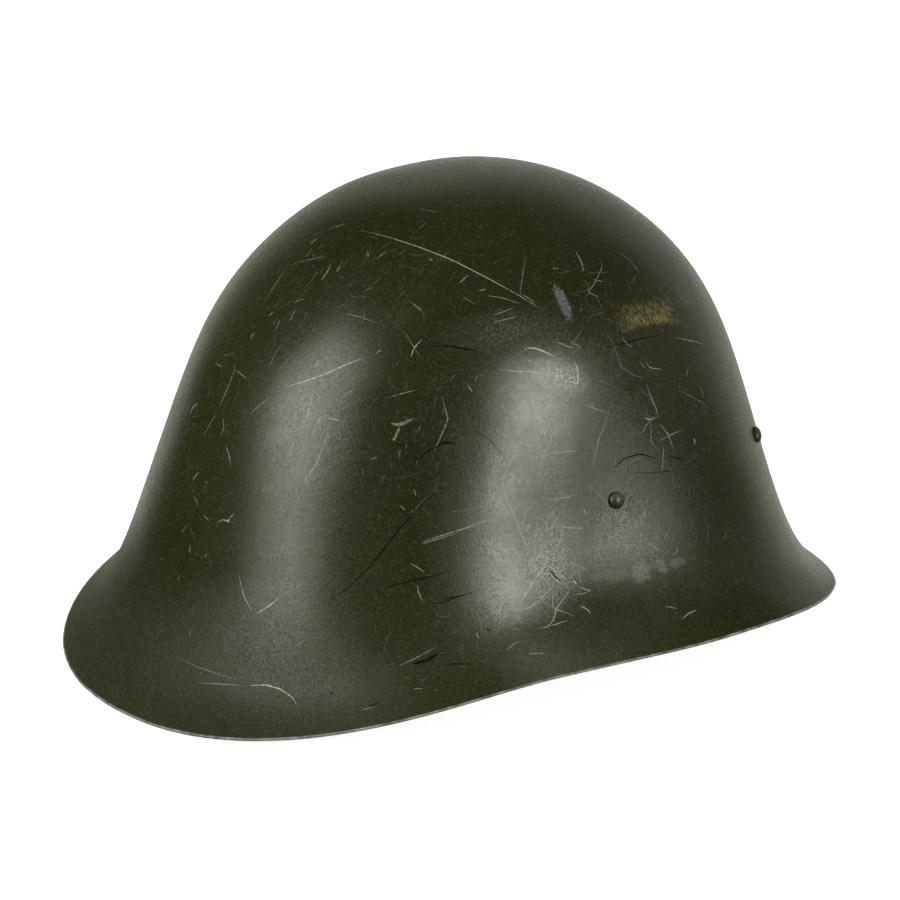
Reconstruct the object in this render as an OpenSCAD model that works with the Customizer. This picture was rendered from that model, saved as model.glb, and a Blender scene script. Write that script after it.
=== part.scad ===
// Bell-shaped steel helmet with a flared rim, riveted liner and two-part chinstrap.
// The helmet stands on its rim at z = 0. The front looks along -Y and the wearer's left is +X.
// Azimuths are degrees about the dome's axis, 0 at the front, 90 at the wearer's left.
// A size written as three numbers is the size at the front, at the sides and at the rear.

/* [Shell] */
// Thickness of the pressed steel sheet
sheet_t = 1.3; // [1:0.1:1.8]
// Height of the top of the dome above the table
crown_h = 177.5; // [170:0.5:190]
// Drop of the crown from its apex to its first ring
crown_drop = 5.5; // [3:0.5:8]
// Radius of the crown ring along the helmet and across it
crown_r = [48, 34.5]; // [30:0.5:50]
// Radii of the shoulder ring
shoulder_r = [87.5, 71, 90]; // [60:0.5:100]
// Heights of the shoulder ring
shoulder_h = [139, 143, 147]; // [130:0.5:156]
// Radii of the middle of the wall
wall_r = [105, 83.5, 115]; // [75:0.5:125]
// Heights of the middle of the wall
wall_h = [106.5, 108, 110]; // [98:0.5:116]
// Radii of the waist, where the wall starts to flare
waist_r = [120.5, 90, 122.5]; // [85:0.5:140]
// Heights of the waist
waist_h = [45, 45, 57.5]; // [35:0.5:62]
// Fullness of the waist's diagonals, and its shift to the rear
waist_full = [9.5, 3]; // [0:0.5:12]
// Radii of the flare
flare_r = [136.5, 106.5, 141.5]; // [95:0.5:150]
// Heights of the flare above the rim
flare_rise = [12, 13, 11.5]; // [8:0.5:25]
// Fullness of the flare's diagonals, and its shift to the rear
flare_full = [3, 2]; // [0:0.5:10]
// Radii of the rim's edge
rim_r = [155.5, 115.5, 154.5]; // [110:0.5:165]
// Fullness of the rim's diagonals, and its shift to the rear
rim_full = [5, 13.5]; // [0:0.5:15]

/* [Rim line] */
// Height that the rim arches up over each ear
arch_h = 18; // [8:0.5:28]
// Half angle of the stretch of rim that rests at the front
front_rest = 8; // [4:1:30]
// Azimuth at which the arch is at full height
arch_from = 76; // [60:1:90]
// Half angle of the stretch of rim that rests at the rear
rear_rest = 6; // [4:1:30]
// Azimuth, from the rear, at which the arch is at full height
arch_to = 68; // [60:1:90]

/* [Liner] */
// Room between the head space and the shell's wall at each side, at the hoop's middle
side_room = 13.43; // [12.4:0.01:16]
// Room between the head space and the shell's wall at the front
front_room = 21.27; // [19:0.01:24]
// Room between the head space and the shell's wall at the rear
rear_room = 19.84; // [18:0.01:24]
// Thickness of the headband leather
leather_t = 2.2; // [1.6:0.1:2.8]
// Gap between the leather and the liner hoop
hoop_gap = 0.8; // [0.6:0.1:1.2]
// Thickness of the liner hoop
hoop_t = 0.9; // [0.7:0.1:1.4]
// Width of the hoop's strip
hoop_h = 20; // [17:0.5:22]
// Height of the hoop's lower edge
hoop_z = 46; // [44:0.5:50]
// Height of the leather above the hoop
headband_rise = 13; // [6:0.5:16]
// Height of the leather folded up outside the hoop
fold_h = 2.6; // [2:0.1:4]
// Height of the tongues' dome above the headband
tongue_rise = 71; // [60:1:76]
// Thickness of the tongue leather
tongue_t = 1.8; // [1.4:0.1:2.4]
// Radius of the ring that the crown lace makes
lace_ring_r = 16; // [15:0.5:18]
// Diameter of the crown lace
lace_d = 2.2; // [1.8:0.1:2.4]
// Length of the lace's loose ends
lace_tail = 15; // [8:0.5:18]

/* [Rivets and brackets] */
// Height of the rivet line
rivet_h = 70.5; // [68:0.5:76]
// Azimuth of the side rivets
side_az = 98; // [88:0.5:100]
// Azimuth of the rear rivets
rear_az = 146; // [140:0.5:155]
// Diameter of a shell rivet's head
rivet_head_d = 6.4; // [5:0.1:8]
// Height of a shell rivet's head
rivet_head_h = 2.1; // [1.5:0.1:3]
// Diameter of a shell rivet's shank
rivet_shank_d = 3.8; // [3:0.1:4.6]
// Thickness of the spring steel brackets
bracket_t = 1; // [0.8:0.1:1.4]
// Width of the brackets
bracket_w = 16; // [14:0.5:18]
// Thickness of the washers
washer_t = 0.8; // [0.6:0.1:1.2]
// Width of the washers' rims
washer_rim = 2.5; // [1.5:0.1:3]
// Diameter of the hoop rivets' shanks
hoop_rivet_d = 2.4; // [2:0.1:3]

/* [Chinstrap] */
// Diameter of the wire of the strap rings and of the buckle
wire_d = 3; // [2.5:0.1:3.2]
// Width of a strap ring between the middles of its wires
ring_w = 22; // [21:0.5:26]
// Height of a strap ring between the middles of its wires
ring_h = 11; // [10:0.5:14]
// Width of the strap
strap_w = 16; // [14:0.5:17]
// Thickness of the strap
strap_t = 2; // [1.6:0.1:2.2]
// Bend of the strap where it meets the table
strap_bend_r = 15; // [12:0.5:18]
// Stretch of the left strap that lies flat, as far as the buckle's bar
left_run = 37; // [36:1:40]
// Stretch of the right strap that lies flat
right_run = 52; // [40:1:54]
// Bend of the right strap's outer curl
curl_r = 7; // [6.5:0.5:8]
// Stretch of the right strap that lies on top
right_return = 46; // [34:1:48]
// Stretch of the right strap's end inside the curl
right_tail = 36; // [28:1:38]
// Diameter of the strap's holes
strap_hole_d = 2.8; // [2:0.1:3.4]
// Distance between the strap's holes
strap_hole_pitch = 10; // [8:0.5:14]
// Length of the buckle between the middles of its bars
buckle_l = 17; // [15:0.5:20]
// Width of the keeper along the strap
keeper_w = 7; // [5:0.5:8]

/* [Hidden] */
$fn = 48;

// Colours
olive = [0.19, 0.2, 0.13];
steel = [0.45, 0.45, 0.43];
tan_leather = [0.47, 0.31, 0.18];
brown_leather = [0.3, 0.19, 0.11];
grey_felt = [0.42, 0.41, 0.37];
cream = [0.78, 0.73, 0.6];

// Clearances between metal faces, of soft pieces, and of moving fits
touch = 0.05;
seat = 0.25;
running = 0.05;
tab_gap = 0.7;
tail_gap = 0.3;

// Grid of the shell, the leather and the pads
azimuths = 72;
span_rows = 4;
oval_n = 96;
tongue_count = 8;
tongue_rows = 10;
tongue_cols = 5;
pad_rows = 3;

// The dome's axis lies off the middle of the rim's length
dome_y = (rim_r[0] - rim_r[2])/2;
edge_break = 0.5;

// The value at one azimuth of a size given at the front, the sides and the rear
function around(v, a) = (v[0] + v[2] + 2*v[1])/4 + (v[0] - v[2])/2*cos(a) + (v[0] + v[2] - 2*v[1])/4*cos(2*a);
function fullness(v, a) = v[0]*pow(sin(2*a), 2) - v[1]*pow(sin(a), 2)*cos(a);
function clamp01(x) = min(1, max(0, x));
function ease(x) = 0.5 - 0.5*cos(180*clamp01(x));
// Azimuth folded to 0 at the front and 180 at the rear
function from_front(a) = acos(cos(a));
function rim_lift(a) = arch_h
    *ease((from_front(a) - front_rest)/(arch_from - front_rest))
    *ease((180 - from_front(a) - rear_rest)/(arch_to - rear_rest));

// Control points of the outer skin's profile at one azimuth, from the apex to the rim, as [radius, height]
function shell_control(a) = [
    [0, crown_h + crown_drop/3],
    [around([crown_r[0], crown_r[1], crown_r[0]], a), crown_h - 2*crown_drop/3],
    [around(shoulder_r, a), around(shoulder_h, a)],
    [around(wall_r, a), around(wall_h, a)],
    [around(waist_r, a) + fullness(waist_full, a), around(waist_h, a) + rim_lift(a)/2],
    [around(flare_r, a) + fullness(flare_full, a), around(flare_rise, a) + rim_lift(a)],
    [around(rim_r, a) + fullness(rim_full, a), rim_lift(a) + sheet_t - edge_break]];
// The same points with one mirrored over the apex and one run on past the rim
function shell_points(a) = let(c = shell_control(a), far = shell_control(a + 180))
    concat([[-far[1][0], far[1][1]]], c, [2*c[6] - c[5]]);
function spline(p, k, u) =
    (pow(1 - u, 3)*p[k] + (3*pow(u, 3) - 6*u*u + 4)*p[k + 1]
    + (-3*pow(u, 3) + 3*u*u + 3*u + 1)*p[k + 2] + pow(u, 3)*p[k + 3])/6;
// The outer skin's profile: a smooth curve from just off the apex to the rim's edge
function outer_profile(a) = let(p = shell_points(a)) concat(
    [for (k = [0:5], i = [0:span_rows - 1]) if (k + i > 0) spline(p, k, i/span_rows)],
    [spline(p, 5, 1)]);
function side_normal(d) = [-d[1], d[0]]/norm(d);
// Outward normals of a profile that runs down and out
function profile_normals(q) = [for (i = [0:len(q) - 1])
    side_normal(q[min(i + 1, len(q) - 1)] - q[max(i - 1, 0)])];
// The inner skin lies one sheet thickness inside
function inner_profile(a) = let(q = outer_profile(a), n = profile_normals(q))
    [for (i = [0:len(q) - 1]) q[i] - sheet_t*n[i]];
// The edge is cut square and its lower corner is flat: the end of the square face, then the end of the flat
function rim_edge(a) = let(q = outer_profile(a), n = profile_normals(q), e = len(q) - 1, d = q[e] - q[e - 1])
    [[q[e][0] - (sheet_t - edge_break)*n[e][0], rim_lift(a)],
     [q[e][0] - (sheet_t - edge_break)*n[e][0] - edge_break*norm(d)/abs(d[1]), rim_lift(a)]];
// Radius of a skin at a height, by interpolation down its profile
function radius_at(q, z) = lookup(z, [for (i = [len(q) - 1:-1:0]) [q[i][1], q[i][0]]]);
function inner_r(a, z) = radius_at(inner_profile(a), z);
function place(r, a, z) = [r*sin(a), dome_y - r*cos(a), z];
function wall_point(a, z) = place(inner_r(a, z), a, z);
// Heading of the wall's outward normal, and the angle that the normal leans up
function wall_heading(a, z) = let(d = wall_point(a + 2, z) - wall_point(a - 2, z)) atan2(d[1], d[0]);
function wall_lean(a, z) = atan((inner_r(a, z - 4) - inner_r(a, z + 4))*cos(a - wall_heading(a, z))/8);

// Places children at a point, with +Z along the outward heading and leaning up by an angle
module facing(point, heading, lean) {
    translate(point) rotate([0, 0, heading]) rotate([90 - lean, 0, 0]) children();
}

// The head space is an oval that keeps its rooms to the shell's wall at the height of the hoop's middle
room_z = hoop_z + hoop_h/2;
function hundredths(x) = round(100*x)/100;
head_w = 2*(hundredths(inner_r(90, room_z)) - side_room);
head_front = hundredths(inner_r(0, room_z)) - front_room;
head_rear = hundredths(inner_r(180, room_z)) - rear_room;
head_l = head_front + head_rear;
head_y = dome_y + (head_rear - head_front)/2;

// The liner's ovals, by their distance outside the head space
hoop_in = leather_t + hoop_gap;
hoop_out = hoop_in + hoop_t;
fold_out = hoop_out + seat + leather_t;
function oval_r(a, extra) = 1/sqrt(pow(sin(a)/(head_w/2 + extra), 2) + pow(cos(a)/(head_l/2 + extra), 2));
module oval(extra) {
    polygon([for (i = [0:oval_n - 1]) let(a = 360*i/oval_n)
        [(head_w/2 + extra)*sin(a), head_y - (head_l/2 + extra)*cos(a)]]);
}
module oval_band(low, high, in, out) {
    translate([0, 0, low]) linear_extrude(height = high - low) difference() {
        oval(out);
        oval(in);
    }
}
function heading_out(h) = [sin(h), -cos(h)];
function heading_across(h) = [cos(h), sin(h)];
// Distance from a point to an oval along a direction in plan: root 1 is the far crossing, -1 the near one
function to_oval(p, d, extra, root) = let(
    A = head_w/2 + extra, B = head_l/2 + extra, y = p[1] - head_y,
    a = pow(d[0]/A, 2) + pow(d[1]/B, 2), b = p[0]*d[0]/(A*A) + y*d[1]/(B*B),
    c = pow(p[0]/A, 2) + pow(y/B, 2) - 1)
    (-b + root*sqrt(b*b - a*c))/a;

// The shell's rivets as [azimuth, heading]; the side ones face straight out, square to the strap rings
rear_heading = wall_heading(rear_az, rivet_h);
SIDE_LEFT = [side_az, 90];
SIDE_RIGHT = [-side_az, -90];
REAR_LEFT = [rear_az, rear_heading];
REAR_RIGHT = [-rear_az, -rear_heading];
RIVETS = [SIDE_LEFT, SIDE_RIGHT, REAR_LEFT, REAR_RIGHT];
module at_rivet(r) {
    facing(wall_point(r[0], rivet_h), r[1], wall_lean(r[0], rivet_h)) children();
}

// Faces of a closed lofted solid whose rings run from a top point down and back up to a lower top point
function ring_faces(rows, cols) = [for (i = [0:rows - 2], j = [0:cols - 1])
    let(a = 1 + i*cols + j, b = 1 + i*cols + (j + 1)%cols) each [[a, b, b + cols], [a, b + cols, a + cols]]];
function capped_faces(rows, cols) = let(last = 1 + (rows - 1)*cols) concat(
    [for (j = [0:cols - 1]) [0, 1 + (j + 1)%cols, 1 + j]],
    ring_faces(rows, cols),
    [for (j = [0:cols - 1]) [last + cols, last + j, last + (j + 1)%cols]]);
function spin_az(j) = 360*j/azimuths;
function shell_skins() = [for (j = [0:azimuths - 1])
    let(a = spin_az(j), q = outer_profile(a), i = inner_profile(a), e = rim_edge(a))
    concat(q, e, [for (k = [len(i) - 2:-1:0]) i[k]])];
function flatten(l) = [for (a = l) each a];

module shell() {
    skins = shell_skins();
    rings = [for (k = [0:len(skins[0]) - 1]) [for (j = [0:azimuths - 1])
        place(skins[j][k][0], spin_az(j), skins[j][k][1])]];
    top = [0, dome_y, crown_h];
    color(olive) difference() {
        polyhedron(concat([top], flatten(rings), [top - [0, 0, sheet_t]]), capped_faces(len(rings), azimuths));
        for (r = RIVETS) at_rivet(r) translate([0, 0, -3]) cylinder(h = 8, d = rivet_shank_d + 2*running);
    }
}

// Depth inside the wall of each layer on a shell rivet
washer_low = -tab_gap - bracket_t - touch - washer_t;
tail_h = 1;

// A rivet along Z: its closed end, its shank between two heights, and its domed head
module rivet_shape(shank_r, tail_r, tail_z, low, high, head_r, head_h) {
    cap_r = (head_r*head_r + head_h*head_h)/(2*head_h);
    rotate_extrude() union() {
        translate([0, low - tail_z]) square([shank_r, high - low + tail_z + head_h/2]);
        translate([0, low - tail_z]) square([tail_r, tail_z]);
        intersection() {
            translate([0, high + head_h - cap_r]) circle(r = cap_r, $fn = 96);
            translate([0, high]) square([head_r, head_h + 1]);
        }
    }
}

// A rivet that isn't square to the wall stands off it by its head's slant
function head_slant(r) = rivet_head_d/2*tan(abs(abs(r[1]) - wall_heading(abs(r[0]), rivet_h)));
module shell_rivets() {
    color(olive) for (r = RIVETS) at_rivet(r)
        rivet_shape(rivet_shank_d/2, rivet_shank_d/2 + 0.9, tail_h, washer_low - touch,
            sheet_t + touch + head_slant(r), rivet_head_d/2, rivet_head_h);
}

module rivet_washers() {
    color(steel) for (r = RIVETS) at_rivet(r) translate([0, 0, washer_low]) difference() {
        cylinder(h = washer_t, d = rivet_shank_d + 2*washer_rim);
        translate([0, 0, -1]) cylinder(h = washer_t + 2, d = rivet_shank_d + 2*running);
    }
}

// Distance inward from a shell rivet's foot on the wall to the hoop, at a place across the bracket
function hoop_depth(r, across, extra) = let(p = wall_point(r[0], rivet_h))
    to_oval([p[0], p[1]] + across*heading_across(r[1]), -heading_out(r[1]), extra, -1);
function leg_depth(r) = min([for (x = [-1:0.25:1]) hoop_depth(r, x*bracket_w/2, hoop_out)]) - touch;

// Outline of a strip of even thickness along a path, with mitred bends
function bend_normal(p, i) = let(
    a = side_normal(p[max(i, 1)] - p[max(i, 1) - 1]),
    b = side_normal(p[min(i + 1, len(p) - 1)] - p[min(i + 1, len(p) - 1) - 1]))
    (a + b)/(1 + a*b);
function strip(p, t) = concat(
    [for (i = [0:len(p) - 1]) p[i] + t/2*bend_normal(p, i)],
    [for (i = [len(p) - 1:-1:0]) p[i] - t/2*bend_normal(p, i)]);

// The brackets' parts, as [distance outside the rivet's foot, height above it]
tab_half = 7;
leg_rise = 14;
leg_gap = 1.5;
joggle_gap = 3;
hoop_rivet_rise = 9.8;
hoop_rivet_x = 5;
eye_drop = 4;
leg_top = hoop_z + leg_rise;
leg_low = hoop_z + fold_h + leg_gap;
joggle_top = hoop_z + fold_h + joggle_gap;
joggle_low = hoop_z + fold_h;
hoop_rivet_z = hoop_z + hoop_rivet_rise;
eye_z = hoop_z - eye_drop;
joggle_x = head_w/2 + fold_out + seat + bracket_t/2;
eye_in = wire_d/2 + running;
eye_out = eye_in + bracket_t;
eye_x = joggle_x + eye_in + bracket_t/2;
eye_y = wall_point(side_az, rivet_h)[1];
function tab_path(r) = let(lean = wall_lean(r[0], rivet_h), m = -(tab_gap + bracket_t/2)*[cos(lean), sin(lean)])
    [m + tab_half*[-sin(lean), cos(lean)], m - tab_half*[-sin(lean), cos(lean)]];
function leg_u(r) = -leg_depth(r) + bracket_t/2;
function rear_path(r) = concat(tab_path(r),
    [[leg_u(r), leg_top - rivet_h], [leg_u(r), leg_low - rivet_h]]);
function side_path(r) = let(u = joggle_x - abs(wall_point(r[0], rivet_h)[0])) concat(tab_path(r),
    [[leg_u(r), leg_top - rivet_h], [leg_u(r), joggle_top - rivet_h], [u, joggle_low - rivet_h], [u, eye_z - rivet_h]]);

module hoop_rivet_holes(r) {
    for (x = [-hoop_rivet_x, hoop_rivet_x]) at_hoop_rivet(r, x)
        translate([0, 0, -3]) cylinder(h = 8, d = hoop_rivet_d + 2*running, $fn = 24);
}
// A hoop rivet's place: on the hoop's inner face, with +Z outward
module at_hoop_rivet(r, x) {
    p = wall_point(r[0], rivet_h);
    q = [p[0], p[1]] + x*heading_across(r[1]) - hoop_depth(r, x, hoop_in)*heading_out(r[1]);
    facing([q[0], q[1], hoop_rivet_z], r[1], 0) children();
}
module bracket_strip(r, path) {
    translate(wall_point(r[0], rivet_h)) rotate([0, 0, r[1]]) rotate([90, 0, -90])
        linear_extrude(height = bracket_w, center = true) polygon(strip(path, bracket_t));
}
module bracket_holes(r) {
    at_rivet(r) translate([0, 0, -5]) cylinder(h = 8, d = rivet_shank_d + 2*running);
    hoop_rivet_holes(r);
}
module side_bracket(r, side) {
    color(steel) difference() {
        union() {
            bracket_strip(r, side_path(r));
            translate([side*eye_x, eye_y, eye_z]) rotate([90, 0, 0])
                cylinder(h = bracket_w, r = eye_out, center = true);
        }
        translate([side*eye_x, eye_y, eye_z]) rotate([90, 0, 0])
            cylinder(h = bracket_w + 2, r = eye_in, center = true);
        bracket_holes(r);
    }
}
module rear_bracket(r) {
    color(steel) difference() {
        bracket_strip(r, rear_path(r));
        bracket_holes(r);
    }
}
module bracket_side_left() { side_bracket(SIDE_LEFT, 1); }
module bracket_side_right() { side_bracket(SIDE_RIGHT, -1); }
module bracket_rear_left() { rear_bracket(REAR_LEFT); }
module bracket_rear_right() { rear_bracket(REAR_RIGHT); }

module liner_hoop() {
    color(steel) difference() {
        oval_band(hoop_z, hoop_z + hoop_h, hoop_in, hoop_out);
        for (r = RIVETS) hoop_rivet_holes(r);
    }
}

module hoop_rivets() {
    color(steel) for (r = RIVETS, x = [-hoop_rivet_x, hoop_rivet_x]) at_hoop_rivet(r, x)
        rivet_shape(hoop_rivet_d/2, hoop_rivet_d/2 + 0.5, 0.4, -tail_gap,
            hoop_depth(r, x, hoop_in) - leg_depth(r) + bracket_t + touch, hoop_rivet_d/2 + 0.9, 0.9);
}

// The headband stands inside the hoop, passes under it and folds up outside it
band_top = hoop_z + hoop_h + headband_rise;
fold_low = hoop_z - seat - leather_t;
module headband() {
    color(tan_leather) union() {
        oval_band(fold_low, band_top, 0, leather_t);
        oval_band(fold_low, hoop_z - seat, 0, fold_out);
        oval_band(fold_low, hoop_z + fold_h, hoop_out + seat, fold_out);
    }
}

// Faces of a slab between two grids of points: rows run up, columns run round, outer grid first
function slab_faces(rows, cols) = let(n = rows*cols, k = rows - 1, l = cols - 1) concat(
    [for (i = [0:k - 1], j = [0:l - 1]) let(a = i*cols + j) each
        [[a, a + cols + 1, a + 1], [a, a + cols, a + cols + 1],
         [n + a, n + a + 1, n + a + cols + 1], [n + a, n + a + cols + 1, n + a + cols]]],
    [for (j = [0:l - 1]) let(a = j, b = k*cols + j) each
        [[a, a + 1, n + a + 1], [a, n + a + 1, n + a], [b + 1, b, n + b], [b + 1, n + b, n + b + 1]]],
    [for (i = [0:k - 1]) let(a = i*cols, b = i*cols + l) each
        [[a + cols, a, n + a], [a + cols, n + a, n + a + cols],
         [b, b + cols, n + b + cols], [b, n + b + cols, n + b]]]);

// The tongues rise from the headband like a dome and end in hems round the lace
hem_l = 7;
hem_in = lace_d/2 + 0.6;
hem_out = hem_in + 1.5;
hem_r = lace_ring_r - 0.2;
tongue_tip_r = hem_r + hem_in + 0.7;
tongue_low = band_top + seat;
tongue_high = tongue_low + tongue_rise;
function tongue_mid(a, v) = let(R = oval_r(a, leather_t/2))
    [tongue_tip_r + (R - tongue_tip_r)*cos(90*v), tongue_low + tongue_rise*sin(90*v)];
function tongue_normal(a, v) = let(R = oval_r(a, leather_t/2),
    d = [tongue_rise*cos(90*v), (R - tongue_tip_r)*sin(90*v)]) d/norm(d);
function tongue_half(a, v) = 180/tongue_count - (0.5 + 2.6*v*v)/tongue_mid(a, v)[0]*180/PI;
function tongue_point(k, u, v, s) = let(
    c = 360/tongue_count*(k + 0.5), a = c + u*tongue_half(c, v),
    p = tongue_mid(a, v) + s*tongue_t/2*tongue_normal(a, v))
    [p[0]*sin(a), head_y - p[0]*cos(a), p[1]];
module tongue(k) {
    color(tan_leather) difference() {
        union() {
            polyhedron([for (s = [1, -1], i = [0:tongue_rows - 1], j = [0:tongue_cols - 1])
                tongue_point(k, 2*j/(tongue_cols - 1) - 1, i/(tongue_rows - 1), s)],
                slab_faces(tongue_rows, tongue_cols));
            hem(k, hem_l, hem_out);
        }
        hem(k, hem_l + 2, hem_in);
    }
}
module hem(k, l, r) {
    translate([0, head_y, tongue_high]) rotate([0, 0, 360/tongue_count*(k + 0.5)])
        translate([0, -hem_r, 0]) rotate([0, 90, 0]) cylinder(h = l, r = r, center = true, $fn = 24);
}
module tongue_1() { tongue(0); }
module tongue_2() { tongue(1); }
module tongue_3() { tongue(2); }
module tongue_4() { tongue(3); }
module tongue_5() { tongue(4); }
module tongue_6() { tongue(5); }
module tongue_7() { tongue(6); }
module tongue_8() { tongue(7); }

// The lace is drawn through the hems and tied inside its ring, between the two front tongues
knot_drop = 6.2;
knot_r = 2.5;
knot_y = head_y - lace_ring_r + knot_drop;
module crown_lace() {
    color(cream) union() {
        translate([0, head_y, tongue_high]) rotate_extrude()
            translate([lace_ring_r, 0]) circle(d = lace_d, $fn = 24);
        translate([0, head_y - lace_ring_r, tongue_high]) rotate([-90, 0, 0])
            cylinder(h = knot_drop, d = lace_d, $fn = 24);
        translate([0, knot_y, tongue_high]) sphere(r = knot_r, $fn = 24);
        for (s = [-1, 1]) translate([0, knot_y, tongue_high]) rotate([-76, 0, s*32]) union() {
            cylinder(h = lace_tail, d = lace_d, $fn = 24);
            translate([0, 0, lace_tail]) sphere(d = lace_d, $fn = 24);
        }
    }
}

// Felt pads fill the space between the hoop and the shell's wall
pad_low = hoop_z + fold_h + 3;
pad_high = hoop_z + hoop_h - 1;
function pad_point(a, z, s) = let(
    in = to_oval([0, dome_y], heading_out(a), hoop_out + seat, 1), out = inner_r(a, z) - seat)
    place(s > 0 ? out : in, a, z);
module pad(from, to, cols) {
    color(grey_felt) polyhedron([for (s = [1, -1], i = [0:pad_rows - 1], j = [0:cols - 1])
        pad_point(from + (to - from)*j/(cols - 1), pad_low + (pad_high - pad_low)*i/(pad_rows - 1), s)],
        slab_faces(pad_rows, cols));
}
module pad_front() { pad(-22, 22, 12); }
module pad_temple_left() { pad(48, 68, 7); }
module pad_temple_right() { pad(-68, -48, 7); }
module pad_rear() { pad(163, 197, 10); }

// A closed loop of wire lying in the XY plane, its corners rounded
module wire_loop(w, l, corner, d) {
    for (s = [-1, 1]) {
        translate([0, s*l/2, 0]) rotate([0, 90, 0]) cylinder(h = w - 2*corner, d = d, center = true);
        translate([s*w/2, 0, 0]) rotate([90, 0, 0]) cylinder(h = l - 2*corner, d = d, center = true);
        for (t = [-1, 1]) translate([s*(w/2 - corner), t*(l/2 - corner), 0]) intersection() {
            rotate_extrude() translate([corner, 0]) circle(d = d);
            translate([s > 0 ? 0 : -2*corner, t > 0 ? 0 : -2*corner, -d]) cube([2*corner, 2*corner, 2*d]);
        }
    }
}

// The strap rings hang from the side brackets' eyes
ring_low = eye_z - ring_h;
module strap_ring(side) {
    color(steel) translate([side*eye_x, eye_y, eye_z - ring_h/2]) rotate([0, 90, 0]) wire_loop(ring_h, ring_w, 3, wire_d);
}
module ring_left() { strap_ring(1); }
module ring_right() { strap_ring(-1); }

// The straps, drawn for the left side in X and Z and as wide as the strap in Y
table_gap = 2;
loop_out = eye_in + strap_t;
bend_z = table_gap + strap_t/2 + strap_bend_r;
bend_x = eye_x + strap_t/2 - strap_bend_r;
doubled = 11.5;
drop_rivet_drop = 8;
drop_rivet_z = ring_low - drop_rivet_drop;
strap_rivet_d = 2.4;
strap_rivet_hole_d = strap_rivet_d + 2*running;
strap_rivet_head_d = 5.2;
strap_rivet_top_d = 3.8;
strap_rivet_head_h = 0.9;
module slab(x0, x1, z0, z1, w) {
    translate([x0, eye_y - w/2, z0]) cube([x1 - x0, w, z1 - z0]);
}
module round_bar(x, z, r, w) {
    translate([x, eye_y, z]) rotate([90, 0, 0]) rotate([0, 0, 135]) cylinder(h = w, r = r, center = true);
}
// A bend of the strap about a line along Y, kept inside the box from x0 to x1 and z0 to z1
module bend(x, z, r, x0, x1, z0, z1) {
    intersection() {
        difference() {
            round_bar(x, z, r + strap_t/2, strap_w);
            round_bar(x, z, r - strap_t/2, strap_w + 2);
        }
        slab(x0, x1, z0, z1, strap_w + 1);
    }
}
module drop() {
    round_bar(eye_x, ring_low, loop_out, strap_w);
    slab(eye_x, eye_x + strap_t, bend_z, ring_low, strap_w);
    slab(eye_x - strap_t, eye_x + 0.5, ring_low - doubled, ring_low, strap_w);
    bend(bend_x, bend_z, strap_bend_r, bend_x, bend_x + 30, bend_z - 30, bend_z);
}
module drop_holes() {
    round_bar(eye_x, ring_low, eye_in, strap_w + 2);
    translate([eye_x, eye_y, drop_rivet_z]) rotate([0, 90, 0])
        cylinder(h = 5*strap_t, d = strap_rivet_hole_d, center = true, $fn = 24);
}

// The left strap ends in a loop round the buckle's bar, slotted for the prong
buckle_x = bend_x - left_run;
buckle_z = table_gap + strap_t;
fold_back = 16;
fold_rivet_run = 9.5;
fold_rivet_x = buckle_x + fold_rivet_run;
prong_w = 2.6;
module strap_left() {
    color(brown_leather) difference() {
        union() {
            drop();
            slab(buckle_x, bend_x, table_gap, table_gap + strap_t, strap_w);
            slab(buckle_x, buckle_x + fold_back, table_gap + strap_t/2, table_gap + 2*strap_t, strap_w);
            round_bar(buckle_x, buckle_z, loop_out, strap_w);
        }
        drop_holes();
        round_bar(buckle_x, buckle_z, eye_in, strap_w + 2);
        slab(buckle_x - 5, buckle_x + 5, table_gap - 3, table_gap + 9, prong_w + 1.2);
        translate([fold_rivet_x, eye_y, 0]) cylinder(h = 6*strap_t, d = strap_rivet_hole_d, $fn = 24);
    }
}

// The right strap is loosely rolled: along the table, round and back, then its end inside
curl_x = bend_x - right_run;
curl_z = table_gap + strap_t/2 + curl_r;
return_z = curl_z + curl_r;
turn_r = 4.5;
turn_x = curl_x + right_return;
turn_z = return_z - turn_r;
tail_z = turn_z - turn_r;
tip_x = turn_x - right_tail;
turn_l = PI*turn_r;
// Places children on the strap at a distance from its tip, with Z through the strap
module on_tail(s) {
    if (s < right_tail) translate([tip_x + s, eye_y, tail_z]) children();
    else if (s < right_tail + turn_l) translate([turn_x, eye_y, turn_z])
        rotate([0, -(s - right_tail)/turn_r*180/PI, 0]) translate([0, 0, -turn_r]) children();
    else translate([turn_x - (s - right_tail - turn_l), eye_y, return_z]) children();
}
module tip_cut() {
    for (s = [-1, 1]) translate([tip_x, eye_y, tail_z - 3]) rotate([0, 0, s*40])
        translate([-20, s > 0 ? 0 : -20, 0]) cube([40, 20, 6]);
}
module right_shape() {
    difference() {
        union() {
            drop();
            slab(curl_x, bend_x, table_gap, table_gap + strap_t, strap_w);
            bend(curl_x, curl_z, curl_r, curl_x - 20, curl_x, curl_z - 20, curl_z + 20);
            slab(curl_x, turn_x, return_z - strap_t/2, return_z + strap_t/2, strap_w);
            bend(turn_x, turn_z, turn_r, turn_x, turn_x + 20, turn_z - 20, turn_z + 20);
            difference() {
                slab(tip_x, turn_x, tail_z - strap_t/2, tail_z + strap_t/2, strap_w);
                tip_cut();
            }
        }
        drop_holes();
        for (i = [0:6]) on_tail(14 + i*strap_hole_pitch)
            cylinder(h = 3*strap_t, d = strap_hole_d, center = true, $fn = 24);
    }
}
module strap_right() {
    color(brown_leather) mirror([1, 0, 0]) right_shape();
}

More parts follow.
